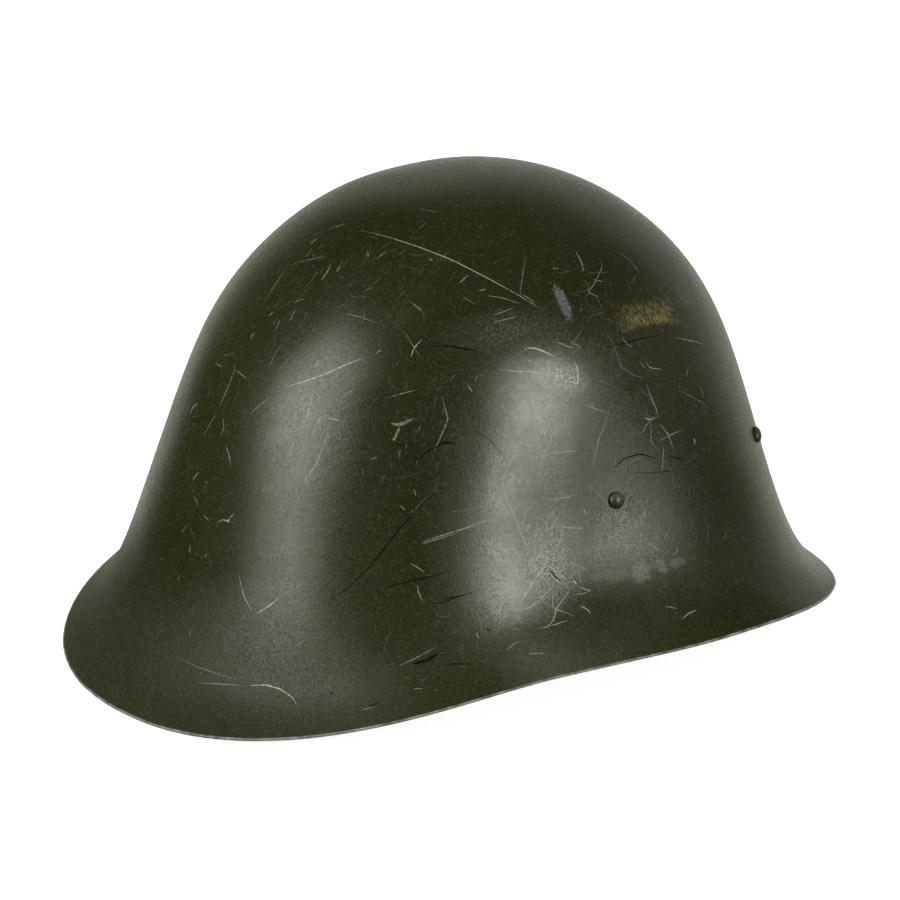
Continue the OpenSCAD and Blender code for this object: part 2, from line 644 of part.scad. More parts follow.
// Small rivets that close the straps' turned ends
module small_rivet(half) {
    cylinder(h = 2*half + strap_rivet_head_h/2, d = strap_rivet_d, center = true, $fn = 24);
    for (s = [0, 1]) mirror([0, 0, s]) translate([0, 0, half + touch])
        cylinder(h = strap_rivet_head_h, d1 = strap_rivet_head_d, d2 = strap_rivet_top_d, $fn = 24);
}
module drop_rivet() {
    translate([eye_x, eye_y, drop_rivet_z]) rotate([0, 90, 0]) small_rivet(strap_t);
}
module strap_rivets_left() {
    color(steel) union() {
        drop_rivet();
        translate([fold_rivet_x, eye_y, buckle_z]) small_rivet(strap_t);
    }
}
module strap_rivet_right() {
    color(steel) mirror([1, 0, 0]) drop_rivet();
}

// The buckle: a wire frame, a roller on its far bar and a prong on its near bar
roller_x = buckle_x - buckle_l;
roller_in = wire_d/2 + running;
roller_out = roller_in + 0.8;
roller_w = 16.4;
prong_d = 2.2;
module buckle_frame() {
    color(steel) translate([buckle_x - buckle_l/2, eye_y, buckle_z]) wire_loop(buckle_l, ring_w, 2.5, wire_d);
}
module buckle_roller() {
    color(steel) difference() {
        round_bar(roller_x, buckle_z, roller_out, roller_w);
        round_bar(roller_x, buckle_z, roller_in, roller_w + 2);
    }
}
prong_rise = roller_out + prong_d/2 + touch - 2;
prong_l = buckle_l + 3;
module buckle_prong() {
    color(steel) difference() {
        union() {
            round_bar(buckle_x, buckle_z, eye_in + 1.2, prong_w);
            translate([buckle_x, eye_y, buckle_z + 2]) rotate([0, -90 + atan(prong_rise/buckle_l), 0])
                cylinder(h = prong_l, d = prong_d);
            translate([buckle_x, eye_y, buckle_z + 2]) rotate([0, -90 + atan(prong_rise/buckle_l), 0])
                translate([0, 0, prong_l]) sphere(d = prong_d);
        }
        round_bar(buckle_x, buckle_z, eye_in, prong_w + 2);
    }
}

// The keeper slides on the left strap and has room for a second layer
keeper_x = bend_x - 9;
keeper_clear = 0.3;
keeper_t = 1.4;
module strap_keeper() {
    low = table_gap - keeper_clear;
    high = table_gap + 2*strap_t + keeper_clear;
    color(brown_leather) difference() {
        slab(keeper_x - keeper_w/2, keeper_x + keeper_w/2, low - keeper_t, high + keeper_t,
            strap_w + 2*keeper_clear + 2*keeper_t);
        slab(keeper_x - keeper_w, keeper_x + keeper_w, low, high, strap_w + 2*keeper_clear);
    }
}

shell();
shell_rivets();
rivet_washers();
bracket_side_left();
bracket_side_right();
bracket_rear_left();
bracket_rear_right();
liner_hoop();
hoop_rivets();
headband();
tongue_1();
tongue_2();
tongue_3();
tongue_4();
tongue_5();
tongue_6();
tongue_7();
tongue_8();
crown_lace();
pad_front();
pad_temple_left();
pad_temple_right();
pad_rear();
ring_left();
ring_right();
strap_left();
strap_right();
strap_rivets_left();
strap_rivet_right();
buckle_frame();
buckle_roller();
buckle_prong();
strap_keeper();
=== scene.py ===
"""A bell-shaped steel helmet in scratched olive paint, standing on its rim on a pale floor.

Every piece lies in the frame of the solids: metres, z = 0 on the floor, front along -Y, wearer's left +X.
Azimuths run round the dome's axis from 0 at the front to 180 at the rear, through +X.
"""
import math

import bpy
import numpy as np
from mathutils import Matrix, Vector
from mathutils.bvhtree import BVHTree


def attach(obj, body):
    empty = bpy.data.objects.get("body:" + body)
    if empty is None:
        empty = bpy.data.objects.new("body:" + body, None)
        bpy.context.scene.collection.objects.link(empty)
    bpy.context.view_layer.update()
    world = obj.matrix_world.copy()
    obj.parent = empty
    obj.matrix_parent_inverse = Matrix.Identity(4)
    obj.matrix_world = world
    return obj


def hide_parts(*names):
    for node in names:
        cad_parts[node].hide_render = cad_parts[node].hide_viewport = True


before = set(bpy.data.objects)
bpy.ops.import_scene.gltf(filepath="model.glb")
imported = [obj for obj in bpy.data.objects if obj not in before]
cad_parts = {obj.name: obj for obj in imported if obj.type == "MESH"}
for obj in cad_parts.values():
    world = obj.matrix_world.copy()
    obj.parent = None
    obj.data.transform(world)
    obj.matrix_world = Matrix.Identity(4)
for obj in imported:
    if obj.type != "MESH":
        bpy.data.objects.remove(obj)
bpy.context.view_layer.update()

MM = 0.001

# Shell sizes in millimetres, as [front, side, rear] where there are three
SHEET = 1.3
EDGE_BREAK = 0.5
CROWN_H = 177.5
CROWN_DROP = 5.5
CROWN_R = (48, 34.5, 48)
SHOULDER_R = (87.5, 71, 90)
SHOULDER_H = (139, 143, 147)
WALL_R = (105, 83.5, 115)
WALL_H = (106.5, 108, 110)
WAIST_R = (120.5, 90, 122.5)
WAIST_H = (45, 45, 57.5)
WAIST_FULL = (9.5, 3)
FLARE_R = (136.5, 106.5, 141.5)
FLARE_RISE = (12, 13, 11.5)
FLARE_FULL = (3, 2)
RIM_R = (155.5, 115.5, 154.5)
RIM_FULL = (5, 13.5)
ARCH_H = 18
FRONT_REST, ARCH_FROM = 8, 76
REAR_REST, ARCH_TO = 6, 68
DOME_Y = (RIM_R[0] - RIM_R[2])/2
SHELL_COLS, OUTER_ROWS, INNER_ROWS = 360, 24, 9

# Camera, from a fit of the shell's outline: where it stands and how it frames
CAMERA_AZ, CAMERA_EL, CAMERA_ROLL = 55.0, 20.07, -0.15
CAMERA_DIST = 1.649
CAMERA_AIM = Vector((0, 0, 0.085))
FOCAL_PX = 4330.0
AIM_PX = (447.1, 402.6)
FRAME_PX = 900.0


def around(v, a):
    """The size at azimuth a of a size given at the front, the sides and the rear, by a two-term cosine
    series."""
    return (v[0] + v[2] + 2*v[1])/4 + (v[0] - v[2])/2*np.cos(a) + (v[0] + v[2] - 2*v[1])/4*np.cos(2*a)


def fullness(v, a):
    """Extra radius at the diagonals, less towards the front and more towards the rear."""
    return v[0]*np.sin(2*a)**2 - v[1]*np.sin(a)**2*np.cos(a)


def ease(x):
    """A smooth step from 0 to 1: half a cosine wave."""
    return 0.5 - 0.5*np.cos(np.pi*np.clip(x, 0, 1))


def rim_lift(a):
    """The rim's height at azimuth a: a smooth rise from the front rest times one from the rear rest."""
    f = np.degrees(np.arccos(np.clip(np.cos(a), -1, 1)))
    rise, fall = (f - FRONT_REST)/(ARCH_FROM - FRONT_REST), (180 - f - REAR_REST)/(ARCH_TO - REAR_REST)
    return ARCH_H*ease(rise)*ease(fall)


def shell_control(a):
    """Control points of the wall's profile at azimuths a, apex to rim: an array of azimuth, point, (radius,
    height). The apex stands a third of the crown's drop higher, so that the spline passes through
    CROWN_H."""
    lift = rim_lift(a)
    zero = np.zeros_like(a)
    r = [zero, around(CROWN_R, a), around(SHOULDER_R, a), around(WALL_R, a),
         around(WAIST_R, a) + fullness(WAIST_FULL, a), around(FLARE_R, a) + fullness(FLARE_FULL, a),
         around(RIM_R, a) + fullness(RIM_FULL, a)]
    h = [zero + CROWN_H + CROWN_DROP/3, zero + CROWN_H - 2*CROWN_DROP/3, around(SHOULDER_H, a),
         around(WALL_H, a), around(WAIST_H, a) + lift/2, around(FLARE_RISE, a) + lift,
         lift + SHEET - EDGE_BREAK]
    return np.stack([np.stack(r, -1), np.stack(h, -1)], -1)


def wall_profile(a, rows):
    """The outer skin: a uniform cubic B-spline through the control points, rows samples to a span, apex
    left out."""
    c, far = shell_control(a), shell_control(a + np.pi)
    before = np.stack([-far[:, 1, 0], far[:, 1, 1]], -1)
    p = np.concatenate([before[:, None], c, (2*c[:, 6] - c[:, 5])[:, None]], 1)
    s = np.arange(1, 6*rows + 1)/rows
    k = np.minimum(s.astype(int), 5)
    u = (s - k)[:, None]
    w = [(1 - u)**3/6, (3*u**3 - 6*u*u + 4)/6, (-3*u**3 + 3*u*u + 3*u + 1)/6, u**3/6]
    return sum(w[i]*p[:, k + i] for i in range(4))


def profile_normals(q):
    """Outward normals of profiles that run down and out, in the plane of radius and height."""
    d = np.gradient(q, axis=1)
    n = np.stack([-d[..., 1], d[..., 0]], -1)
    return n/np.linalg.norm(n, axis=-1, keepdims=True)


def on_dome(r, a, z):
    """Points at radius r, azimuth a and height z, in metres."""
    return np.stack([r*np.sin(a), DOME_Y - r*np.cos(a), z], -1)*MM


def wall_radius(a, z, skin=0.0):
    """Radius of the wall at height z, skin millimetres inside the outer face, for arrays of equal length."""
    q = wall_profile(a, OUTER_ROWS)
    q = q - skin*profile_normals(q)
    return np.array([np.interp(h, w[::-1, 1], w[::-1, 0]) for h, w in zip(z, q)])


def from_side(az, el):
    """Unit vector towards azimuth az and elevation el."""
    az, el = math.radians(az), math.radians(el)
    return Vector((math.sin(az)*math.cos(el), -math.cos(az)*math.cos(el), math.sin(el)))


def mesh_piece(name, points, faces, smooth=True):
    """A mesh object at the origin from points in metres and faces of point numbers."""
    mesh = bpy.data.meshes.new(name)
    points = np.asarray(points, float).reshape(-1, 3).tolist()
    mesh.from_pydata(points, [], [list(map(int, f)) for f in faces])
    mesh.polygons.foreach_set("use_smooth", np.full(len(mesh.polygons), smooth))
    mesh.update()
    piece = bpy.data.objects.new(name, mesh)
    bpy.context.scene.collection.objects.link(piece)
    return piece


def give(piece, name, values, kind="FLOAT", domain="POINT"):
    """An attribute with a value for each point of a piece, or each edge."""
    piece.data.attributes.new(name, kind, domain).data.foreach_set("value", values)


def grid_faces(rows, cols, closed_rows=False, closed_cols=False, start=0):
    """Quads of a grid of rows by cols points, facing outward where rows run down and columns run
    anticlockwise."""
    i = np.arange(rows if closed_rows else rows - 1)
    j = np.arange(cols if closed_cols else cols - 1)
    i, j = np.meshgrid(i, j, indexing="ij")
    i1, j1 = (i + 1) % rows, (j + 1) % cols
    quads = np.stack([i*cols + j, i1*cols + j, i1*cols + j1, i*cols + j1], -1)
    return quads.reshape(-1, 4) + start


# Materials


class Nodes:
    """A node tree being built. Its methods make nodes and return their outputs."""

    def __init__(self, tree):
        self.tree = tree

    def feed(self, socket, value):
        """Joins an output to a socket, or sets a plain value on it."""
        if hasattr(value, "is_output"):
            self.tree.links.new(value, socket)
        else:
            socket.default_value = value

    def add(self, kind, feeds=(), **settings):
        """A new node with its settings, and what feeds its sockets, each by name or number."""
        node = self.tree.nodes.new(kind)
        for key, value in settings.items():
            setattr(node, key, value)
        for socket, value in dict(feeds).items():
            self.feed(node.inputs[socket], value)
        return node

    def math(self, operation, a, b=0.0):
        return self.add("ShaderNodeMath", {0: a, 1: b}, operation=operation).outputs[0]

    def times(self, a, b):
        return self.math("MULTIPLY", a, b)

    def plus(self, a, b):
        return self.math("ADD", a, b)

    def larger(self, a, b):
        return self.math("MAXIMUM", a, b)

    def vector(self, operation, a, b=(0, 0, 0)):
        """Vector arithmetic, which gives a number where it is a length or a dot product."""
        node = self.add("ShaderNodeVectorMath", {0: a, 1: b}, operation=operation)
        return node.outputs["Value" if operation in ("LENGTH", "DOT_PRODUCT") else "Vector"]

    def axes(self, vector):
        """A vector's three parts."""
        return self.add("ShaderNodeSeparateXYZ", {0: vector}).outputs

    def spread(self, value, low, high, to_low=0.0, to_high=1.0, **settings):
        """A value's range low to high, stretched to to_low to to_high and held there outside it."""
        names = ("Value", "From Min", "From Max", "To Min", "To Max")
        feeds = dict(zip(names, (value, low, high, to_low, to_high)))
        return self.add("ShaderNodeMapRange", feeds, **settings).outputs["Result"]

    def mix_shaders(self, factor, a, b):
        return self.add("ShaderNodeMixShader", {0: factor, 1: a, 2: b}).outputs[0]

    def ray(self, kind):
        """1 for rays of one kind, such as Camera or Glossy, and 0 for the rest."""
        return self.add("ShaderNodeLightPath").outputs[f"Is {kind} Ray"]

    def camera_sees(self, plain, shown, *also):
        """Mixes two shaders: shown for camera rays and the other kinds of ray named, plain for the rest."""
        factor = self.ray("Camera")
        for kind in also:
            factor = self.larger(factor, self.ray(kind))
        return self.mix_shaders(factor, plain, shown)


class Shade(Nodes):
    """A material being built, with patterns on the object's own coordinates."""

    def __init__(self, name):
        self.material = bpy.data.materials.new(name)
        self.material.use_nodes = True
        super().__init__(self.material.node_tree)
        self.body = self.tree.nodes["Principled BSDF"]
        self.out = self.tree.nodes["Material Output"]
        self.coords = self.add("ShaderNodeTexCoord").outputs["Object"]

    def surface(self, feeds):
        """Feeds the shader's sockets by name, and returns the material."""
        for name, value in feeds.items():
            self.feed(self.body.inputs[name], value)
        return self.material

    def placed(self, place, turn, size):
        """Coordinates about a place, along axes turned by angles, that reach 1 at a size along each of
        them."""
        feeds = {"Vector": self.coords, "Location": place, "Rotation": turn, "Scale": size}
        return self.add("ShaderNodeMapping", feeds, vector_type="TEXTURE").outputs[0]

    def noise(self, scale, detail=3.0, rough=0.5, stretch=(1, 1, 1), turn=(0, 0, 0), warp=0.0):
        """Noise on the object's own coordinates: scale in cells per metre, and how many times longer its
        cells are along each of three axes, which are the object's, turned by angles."""
        feeds = {"Vector": self.placed((0, 0, 0), turn, stretch), "Scale": scale, "Detail": detail,
                 "Roughness": rough, "Distortion": warp}
        return self.add("ShaderNodeTexNoise", feeds).outputs["Fac"]

    def mix(self, factor, a, b):
        """Two colours mixed."""
        node = self.add("ShaderNodeMix", data_type="RGBA")
        for socket, value in zip([s for s in node.inputs if s.enabled], (factor, a, b)):
            self.feed(socket, value)
        return [s for s in node.outputs if s.enabled][0]

    def attribute(self, name):
        return self.add("ShaderNodeAttribute", attribute_name=name).outputs["Fac"]

    def bump(self, height, distance, strength, after=None):
        feeds = {"Distance": distance, "Strength": strength, "Height": height}
        if after is not None:
            feeds["Normal"] = after
        return self.add("ShaderNodeBump", feeds).outputs["Normal"]


def srgb(r, g, b):
    """A screen colour, 0 to 255 each, as the linear colour that a shader takes."""
    c = [v/255 for v in (r, g, b)]
    return tuple(v/12.92 if v <= 0.04045 else ((v + 0.055)/1.055)**2.4 for v in c) + (1.0,)


# The shell


def shell_surface():
    """The shell as one closed skin of rings: the outer B-spline wall from the apex to the rim, the square
    cut edge, the small flat on the rim line, and the inner wall one sheet thickness inside, back up to the
    apex."""
    a = np.arange(SHELL_COLS)*2*np.pi/SHELL_COLS
    outer = wall_profile(a, OUTER_ROWS)
    n = profile_normals(outer)
    last = outer[:, -1] - (SHEET - EDGE_BREAK)*n[:, -1]
    foot = np.stack([last[:, 0], rim_lift(a)], -1)
    step = EDGE_BREAK/np.abs(n[:, -1, 0])
    flat = foot - np.stack([step, 0*step], -1)
    inner = wall_profile(a, INNER_ROWS)
    inner = (inner - SHEET*profile_normals(inner))[:, -2::-1]
    q = np.concatenate([outer, foot[:, None], flat[:, None], inner], 1)
    rings = on_dome(q[..., 0].T, a, q[..., 1].T)
    top = np.array([[0, DOME_Y, CROWN_H], [0, DOME_Y, CROWN_H - SHEET]])*MM
    rows = len(rings)
    points = np.concatenate([top[:1], rings.reshape(-1, 3), top[1:]])
    j = np.arange(SHELL_COLS)
    j1 = (j + 1) % SHELL_COLS
    end = 1 + (rows - 1)*SHELL_COLS
    caps = [np.stack([0*j, 1 + j, 1 + j1], -1), np.stack([0*j + end + SHELL_COLS, end + j1, end + j], -1)]
    faces = [*caps[0], *grid_faces(rows, SHELL_COLS, closed_cols=True, start=1), *caps[1]]
    return points, faces, outer.shape[1]


# Places on the shell that the photo gives

shell_points, shell_faces, shell_edge_row = shell_surface()
skin = BVHTree.FromPolygons([tuple(p) for p in shell_points], [tuple(int(i) for i in f) for f in shell_faces])


def camera_axes():
    """The camera's right, up and back directions."""
    back = from_side(CAMERA_AZ, CAMERA_EL)
    turn = back.to_track_quat("Z", "Y").to_matrix() @ Matrix.Rotation(math.radians(CAMERA_ROLL), 3, "Z")
    return [turn.col[i].copy() for i in range(3)]


def on_shell(x, y):
    """The place on the shell that a pixel of the photo shows, and the skin's normal there."""
    right, up, back = camera_axes()
    ray = right*((x - AIM_PX[0])/FOCAL_PX) - up*((y - AIM_PX[1])/FOCAL_PX) - back
    place, normal, _, _ = skin.ray_cast(CAMERA_AIM + back*CAMERA_DIST, ray.normalized())
    return place, normal


def seen_way(lean, normal):
    """The direction in the skin that the camera sees at an angle to its own horizontal."""
    right, up, back = camera_axes()
    flat = right*math.cos(lean) + up*math.sin(lean)
    return (flat - back*(flat.dot(normal)/normal.dot(back))).normalized()


def scuff_space(s, pixel, half, tilt):
    """Coordinates that reach 1 at the edge of a scuff's ellipse in the skin, and the skin's normal there.
    The ellipse grows by the reciprocal of how much its axes are foreshortened, up to 2.5 times."""
    right, up, _ = camera_axes()
    place, normal = on_shell(*pixel)
    along = seen_way(math.radians(tilt), normal)
    across = normal.cross(along)
    reach = CAMERA_DIST/FOCAL_PX
    size = [h*reach/max(0.4, math.hypot(way.dot(right), way.dot(up)))
            for h, way in zip(half, (along, across))]
    turn = Matrix((along, across, normal)).transposed().to_euler()
    return s.placed(place, turn, (*size, SCUFF_DEPTH)), normal


def mist(s, space, _, number):
    """Fine grain that thins out from the middle."""
    grain = s.noise(1150 + 20*number, 4, 0.85, warp=0.3)
    return s.times(s.spread(s.vector("LENGTH", space), 1.25, 0.1), s.spread(grain, 0.46, 0.66))


def blots(s, space, *_):
    """Spots that run together inside a ragged edge."""
    edge = s.plus(s.vector("LENGTH", space), s.times(s.noise(700, 3, 0.7), 1.4))
    return s.times(s.spread(edge, 1.75, 1.45), s.spread(s.noise(1500, 4, 0.8), 0.58, 0.44, 0.1, 1))


def streaks(s, space, normal, _):
    """Drawn streaks in a block with a ragged edge, fuller towards its foot."""
    x, y, z = s.axes(space)
    sides = [s.math("ABSOLUTE", part) for part in (x, y, z)]
    far = s.larger(s.larger(*sides[:2]), sides[2])
    down = seen_way(math.radians(STREAK_FALL), normal)
    turn = Matrix((down, normal.cross(down), normal)).transposed().to_euler()
    drawn = s.spread(s.noise(1500, 4, 0.75, stretch=(3.5, 1, 1), turn=turn), 0.45, 0.62, 0.04, 1)
    edge = s.plus(far, s.times(s.noise(420, 3, 0.7), 1.3))
    full = s.spread(y, 0.9, -0.35, 0.3, 1)
    return s.times(s.times(s.spread(edge, 1.7, 1.25), drawn), full)


# Scuffs in the paint, some of them also painted highlight: pixel, half length and half height in pixels,
# tilt in degrees, colour, strength, and how the scuff breaks up
SCUFFS = {
    "gold rub": ((649, 313), (29, 14), 9, (148, 138, 74), 1.0, streaks),
    "faint gold rub": ((684, 295), (8, 13), 9, (104, 98, 66), 0.7, streaks),
    "purple graze": ((563, 302), (20, 5.5), -66, (120, 120, 124), 0.95, blots),
    "first grey print": ((641, 572), (10, 11), -40, (112, 110, 104), 0.9, blots),
    "second grey print": ((661, 566), (8, 6), -40, (104, 102, 98), 0.8, blots),
    "third grey print": ((677, 563), (9, 5), 12, (100, 98, 92), 0.8, blots),
    "grey trail": ((612, 576), (22, 6), 3, (98, 98, 84), 0.6, blots),
    "brown print": ((402, 317), (8, 16), -12, (84, 80, 54), 0.6, mist),
    "brim mottle": ((530, 660), (36, 13), 10, (92, 88, 66), 0.7, mist),
    # The crown mottle and the five grazes below lie where the lamps' highlights fall: lighter grain of
    # scuffed paint and painted highlight that brightens those highlights
    "crown mottle and painted highlight": ((510, 330), (60, 20), 6, (116, 114, 96), 0.8, mist),
    "top graze and painted highlight": ((562, 377), (26, 15), -20, (235, 235, 225), 1.0, mist),
    "middle graze and painted highlight": ((545, 425), (30, 44), 0, (200, 200, 190), 0.7, mist),
    "tall graze and painted highlight": ((552, 480), (26, 62), 5, (190, 190, 180), 0.6, mist),
    "low graze and painted highlight": ((542, 562), (34, 50), -24, (225, 225, 215), 0.9, mist),
    "front graze and painted highlight": ((312, 420), (38, 62), 12, (190, 190, 180), 0.45, mist),
    "bruise": ((426, 662), (26, 5), 14, (20, 21, 4), 0.8, mist),
    "second bruise": ((384, 626), (36, 8), 4, (24, 25, 8), 0.55, mist),
    "third bruise": ((412, 530), (8, 12), 0, (24, 24, 8), 0.6, mist),
}
# Patches that only shine less: pixel, half length and half height in pixels, tilt in degrees, strength
DULL_PATCHES = {
    "behind": ((640, 505), (60, 70), 0, 0.5),
    "in front": ((458, 530), (26, 90), 4, 0.4),
}
# How deep under the skin a scuff still shows, so that it stays on its own side of the shell
SCUFF_DEPTH = 0.02
# Where the paint's fine ripple runs, rising to the right, and a rub's streaks, falling to the right
RIPPLE_RISE = 30
STREAK_FALL = -60


def scuffed(s, tone):
    """Lays the scuffs, some of them painted highlight, over the paint's tone. Returns the tone, how scuffed
    or lit by painted highlight each place is, and how dull.
    """
    scuffed_or_lit = dull = 0.0
    for number, (pixel, half, tilt, colour, strength, kind) in enumerate(SCUFFS.values()):
        cover = s.times(kind(s, *scuff_space(s, pixel, half, tilt), number), strength)
        cover = s.times(cover, s.attribute("outside"))
        tone = s.mix(cover, tone, srgb(*colour))
        scuffed_or_lit = s.larger(scuffed_or_lit, cover)
    for pixel, half, tilt, strength in DULL_PATCHES.values():
        far = s.vector("LENGTH", scuff_space(s, pixel, half, tilt)[0])
        dull = s.larger(dull, s.spread(far, 1.5, 0, 0, strength))
    return tone, scuffed_or_lit, dull


def paint_relief(s):
    """The paint's skin: fine peel, rows of ripples along RIPPLE_RISE as the camera sees them, and shallow
    dents."""
    right, up, _ = camera_axes()
    rise = math.radians(RIPPLE_RISE)
    rows = right*math.cos(rise) + up*math.sin(rise)
    turn = (0, -math.asin(rows.z), math.atan2(rows.y, rows.x))
    peel = s.bump(s.noise(1250, 3, 0.7), 0.00016, 0.38)
    ripple = s.bump(s.noise(560, 1, 0.4, stretch=(7, 1, 1), turn=turn), 0.00012, 0.28, peel)
    return s.bump(s.noise(45, 1, 0.5), 0.0006, 0.06, ripple)


def olive_paint():
    """Satin olive drab over pressed steel: uneven tone, fine grain, rows of ripples, scuffs, some of them
    painted highlight where the lamps' highlights fall, and a bare cut edge. The low front is rougher than the
    rest."""
    s = Shade("olive paint")
    tone = s.mix(s.spread(s.noise(14, 4, 0.6), 0.35, 0.68), srgb(36, 38, 5), srgb(46, 48, 14))
    tone = s.mix(s.spread(s.noise(130, 4, 0.65), 0.52, 0.78, 0, 0.3), tone, srgb(58, 58, 38))
    tone = s.mix(s.spread(s.noise(1150, 2, 0.6), 0.56, 0.72, 0, 0.45), tone, srgb(96, 96, 76))
    pit = s.spread(s.noise(1400, 2, 0.6), 0.46, 0.34, 0, 0.6)
    tone, scuffed_or_lit, dull = scuffed(s, s.mix(pit, tone, srgb(12, 13, 0)))
    bare = s.times(s.attribute("bare"), s.spread(s.noise(160, 4, 0.7), 0.3, 0.62))
    _, y, z = s.axes(s.coords)
    low_front = s.times(s.spread(z, 0.050, 0.026), s.spread(y, -0.06, -0.11))
    rough = s.spread(s.noise(60, 4, 0.6), 0.3, 0.7, 0.21, 0.285)
    rough = s.plus(rough, s.spread(s.noise(1000, 2, 0.6), 0.34, 0.66, -0.035, 0.07))
    for what, more in ((low_front, 0.25), (scuffed_or_lit, 0.12), (dull, 0.2), (pit, 0.3), (bare, -0.12)):
        rough = s.plus(rough, s.times(what, more))
    return s.surface({
        "Base Color": s.mix(bare, tone, srgb(206, 206, 198)), "Metallic": s.spread(bare, 0, 1, 0, 0.3),
        "Roughness": rough, "Specular IOR Level": 0.5, "Specular Tint": (1, 1, 0.86, 1),
        "Coat Weight": 0.08, "Coat Roughness": 0.55, "Sheen Weight": 0.05, "Sheen Roughness": 0.25,
        "Sheen Tint": (0.9, 0.9, 0.82, 1), "Normal": paint_relief(s)})


PAINT = olive_paint()


def make_shell():
    """The painted shell: the surface of shell_surface(), with its three rings of cut edge sharp and bare."""
    shell = mesh_piece("painted_shell", shell_points, shell_faces)
    ring = np.full(len(shell_points), -1)
    ring[1:-1] = np.repeat(np.arange((len(shell_points) - 2)//SHELL_COLS), SHELL_COLS)
    cut = np.arange(shell_edge_row - 1, shell_edge_row + 2)
    give(shell, "bare", np.isin(ring, cut).astype(float))
    give(shell, "outside", (ring < shell_edge_row).astype(float))
    ends = np.empty(len(shell.data.edges)*2, int)
    shell.data.edges.foreach_get("vertices", ends)
    ends = ring[ends.reshape(-1, 2)]
    give(shell, "sharp_edge", (ends[:, 0] == ends[:, 1]) & np.isin(ends[:, 0], cut), "BOOLEAN", "EDGE")
    shell.data.materials.append(PAINT)
    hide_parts("shell")
    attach(shell, "helmet")


make_shell()


# Helpers for thin and long pieces


def weld(points, faces):
    """Merges points that lie together and drops the faces, or the sides of faces, that have closed up."""
    key = np.round(np.asarray(points)/1e-8).astype(np.int64)
    _, first, same = np.unique(key, axis=0, return_index=True, return_inverse=True)
    quads = same.ravel()[np.asarray(faces)]
    whole = (quads != np.roll(quads, 1, 1)).all(1)
    rest = [list(dict.fromkeys(q)) for q in quads[~whole].tolist()]
    return np.asarray(points)[first], quads[whole].tolist() + [q for q in rest if len(q) > 2]


def outward(points, faces):
    """Turns a closed skin the right way out: the sum of its faces' signed volumes is made positive."""
    p = np.asarray(points)
    corners = [[f[0], f[1], f[2]] for f in faces] + [[f[0], f[2], f[3]] for f in faces if len(f) == 4]
    corners = np.array(corners)
    a, b, c = (p[corners[:, i]] for i in range(3))
    return faces if (a*np.cross(b, c)).sum() > 0 else [f[::-1] for f in faces]


def closed_piece(name, skin, material, body="helmet", node=None):
    """A closed skin of points and faces, which may stand for a node, and rides on a body."""
    points, faces = weld(*skin)
    piece = mesh_piece(name, points, outward(points, faces))
    piece.data.materials.append(material)
    if node:
        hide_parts(node)
    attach(piece, body)
    return piece


def rounded(distance, radius, half):
    """Half thickness near an edge: a quarter of an ellipse, from 0 at the edge to half at the radius."""
    return half*np.sqrt(np.clip(1 - (1 - np.clip(distance/radius, 0, 1))**2, 0, 1))


def edged(low, high, edge, count):
    """Positions from low to high, closer together near both ends."""
    near = edge*np.array([0, 0.06, 0.25, 0.6, 1.1])
    even = np.linspace(low + near[-1], high - near[-1], count)[1:-1]
    return np.concatenate([low + near, even, high - near[::-1]])


def leaf(mid, out, half):
    """A thin closed form: a front skin at mid plus half along out, and a back skin at mid minus half, which
    meet along the border, where half is 0."""
    count = half.size
    quads = grid_faces(*half.shape)
    skins = [(mid + sign*out*half[..., None]).reshape(-1, 3) for sign in (1, -1)]
    return np.concatenate(skins), np.concatenate([quads, quads[:, ::-1] + count])


def grid_normals(p):
    """Unit normals of a grid of points, as the cross product of its two directions."""
    n = np.cross(np.gradient(p, axis=0), np.gradient(p, axis=1))
    return n/np.linalg.norm(n, axis=-1, keepdims=True)


def smooth_path(points, step=0.25, window=8):
    """A polyline resampled at even steps and rounded off by a running mean, with its ends kept."""
    p = np.asarray(points, float)
    d = np.concatenate([[0], np.cumsum(np.linalg.norm(np.diff(p, axis=0), axis=1))])
    s = np.linspace(0, d[-1], int(d[-1]/step) + 1)
    q = np.stack([np.interp(s, d, p[:, i]) for i in range(p.shape[1])], -1)
    q = np.concatenate([2*q[:1] - q[window:0:-1], q, 2*q[-1:] - q[-2:-window - 2:-1]])
    kernel = np.hanning(2*window + 3)[1:-1]
    return np.stack([np.convolve(q[:, i], kernel/kernel.sum(), "valid") for i in range(p.shape[1])], -1)


def arc(x, z, r, start, end, count=24):
    """Points on a circle in the x-z plane, by angle from +x towards +z."""
    t = np.radians(np.linspace(start, end, count))
    return np.stack([x + r*np.cos(t), z + r*np.sin(t)], -1)


def tube(path, radius, ref, sides=14, twist=0.0, strands=0):
    """A round skin along a path, closed to a point at both ends. Strands raise helical ridges on it: the
    radius is multiplied by 1 plus a small cosine of the angle round it plus the twist along it."""
    p = np.asarray(path, float)
    along = np.gradient(p, axis=0)
    along /= np.linalg.norm(along, axis=1, keepdims=True)
    side = np.cross(along, ref)
    side /= np.linalg.norm(side, axis=1, keepdims=True)
    other = np.cross(side, along)
    s = np.concatenate([[0], np.cumsum(np.linalg.norm(np.diff(p, axis=0), axis=1))])
    t = np.arange(sides)*2*np.pi/sides
    ends = np.sqrt(np.clip(1 - (1 - np.clip(np.minimum(s, s[-1] - s)/radius, 0, 1))**2, 0, 1))
    r = radius*ends[:, None]*(1 + (0.12*np.cos(strands*t[None] + twist*s[:, None]) if strands else 0))
    out = side[:, None]*np.cos(t)[None, :, None] + other[:, None]*np.sin(t)[None, :, None]
    return (p[:, None] + r[..., None]*out).reshape(-1, 3), grid_faces(len(p), sides, closed_cols=True)


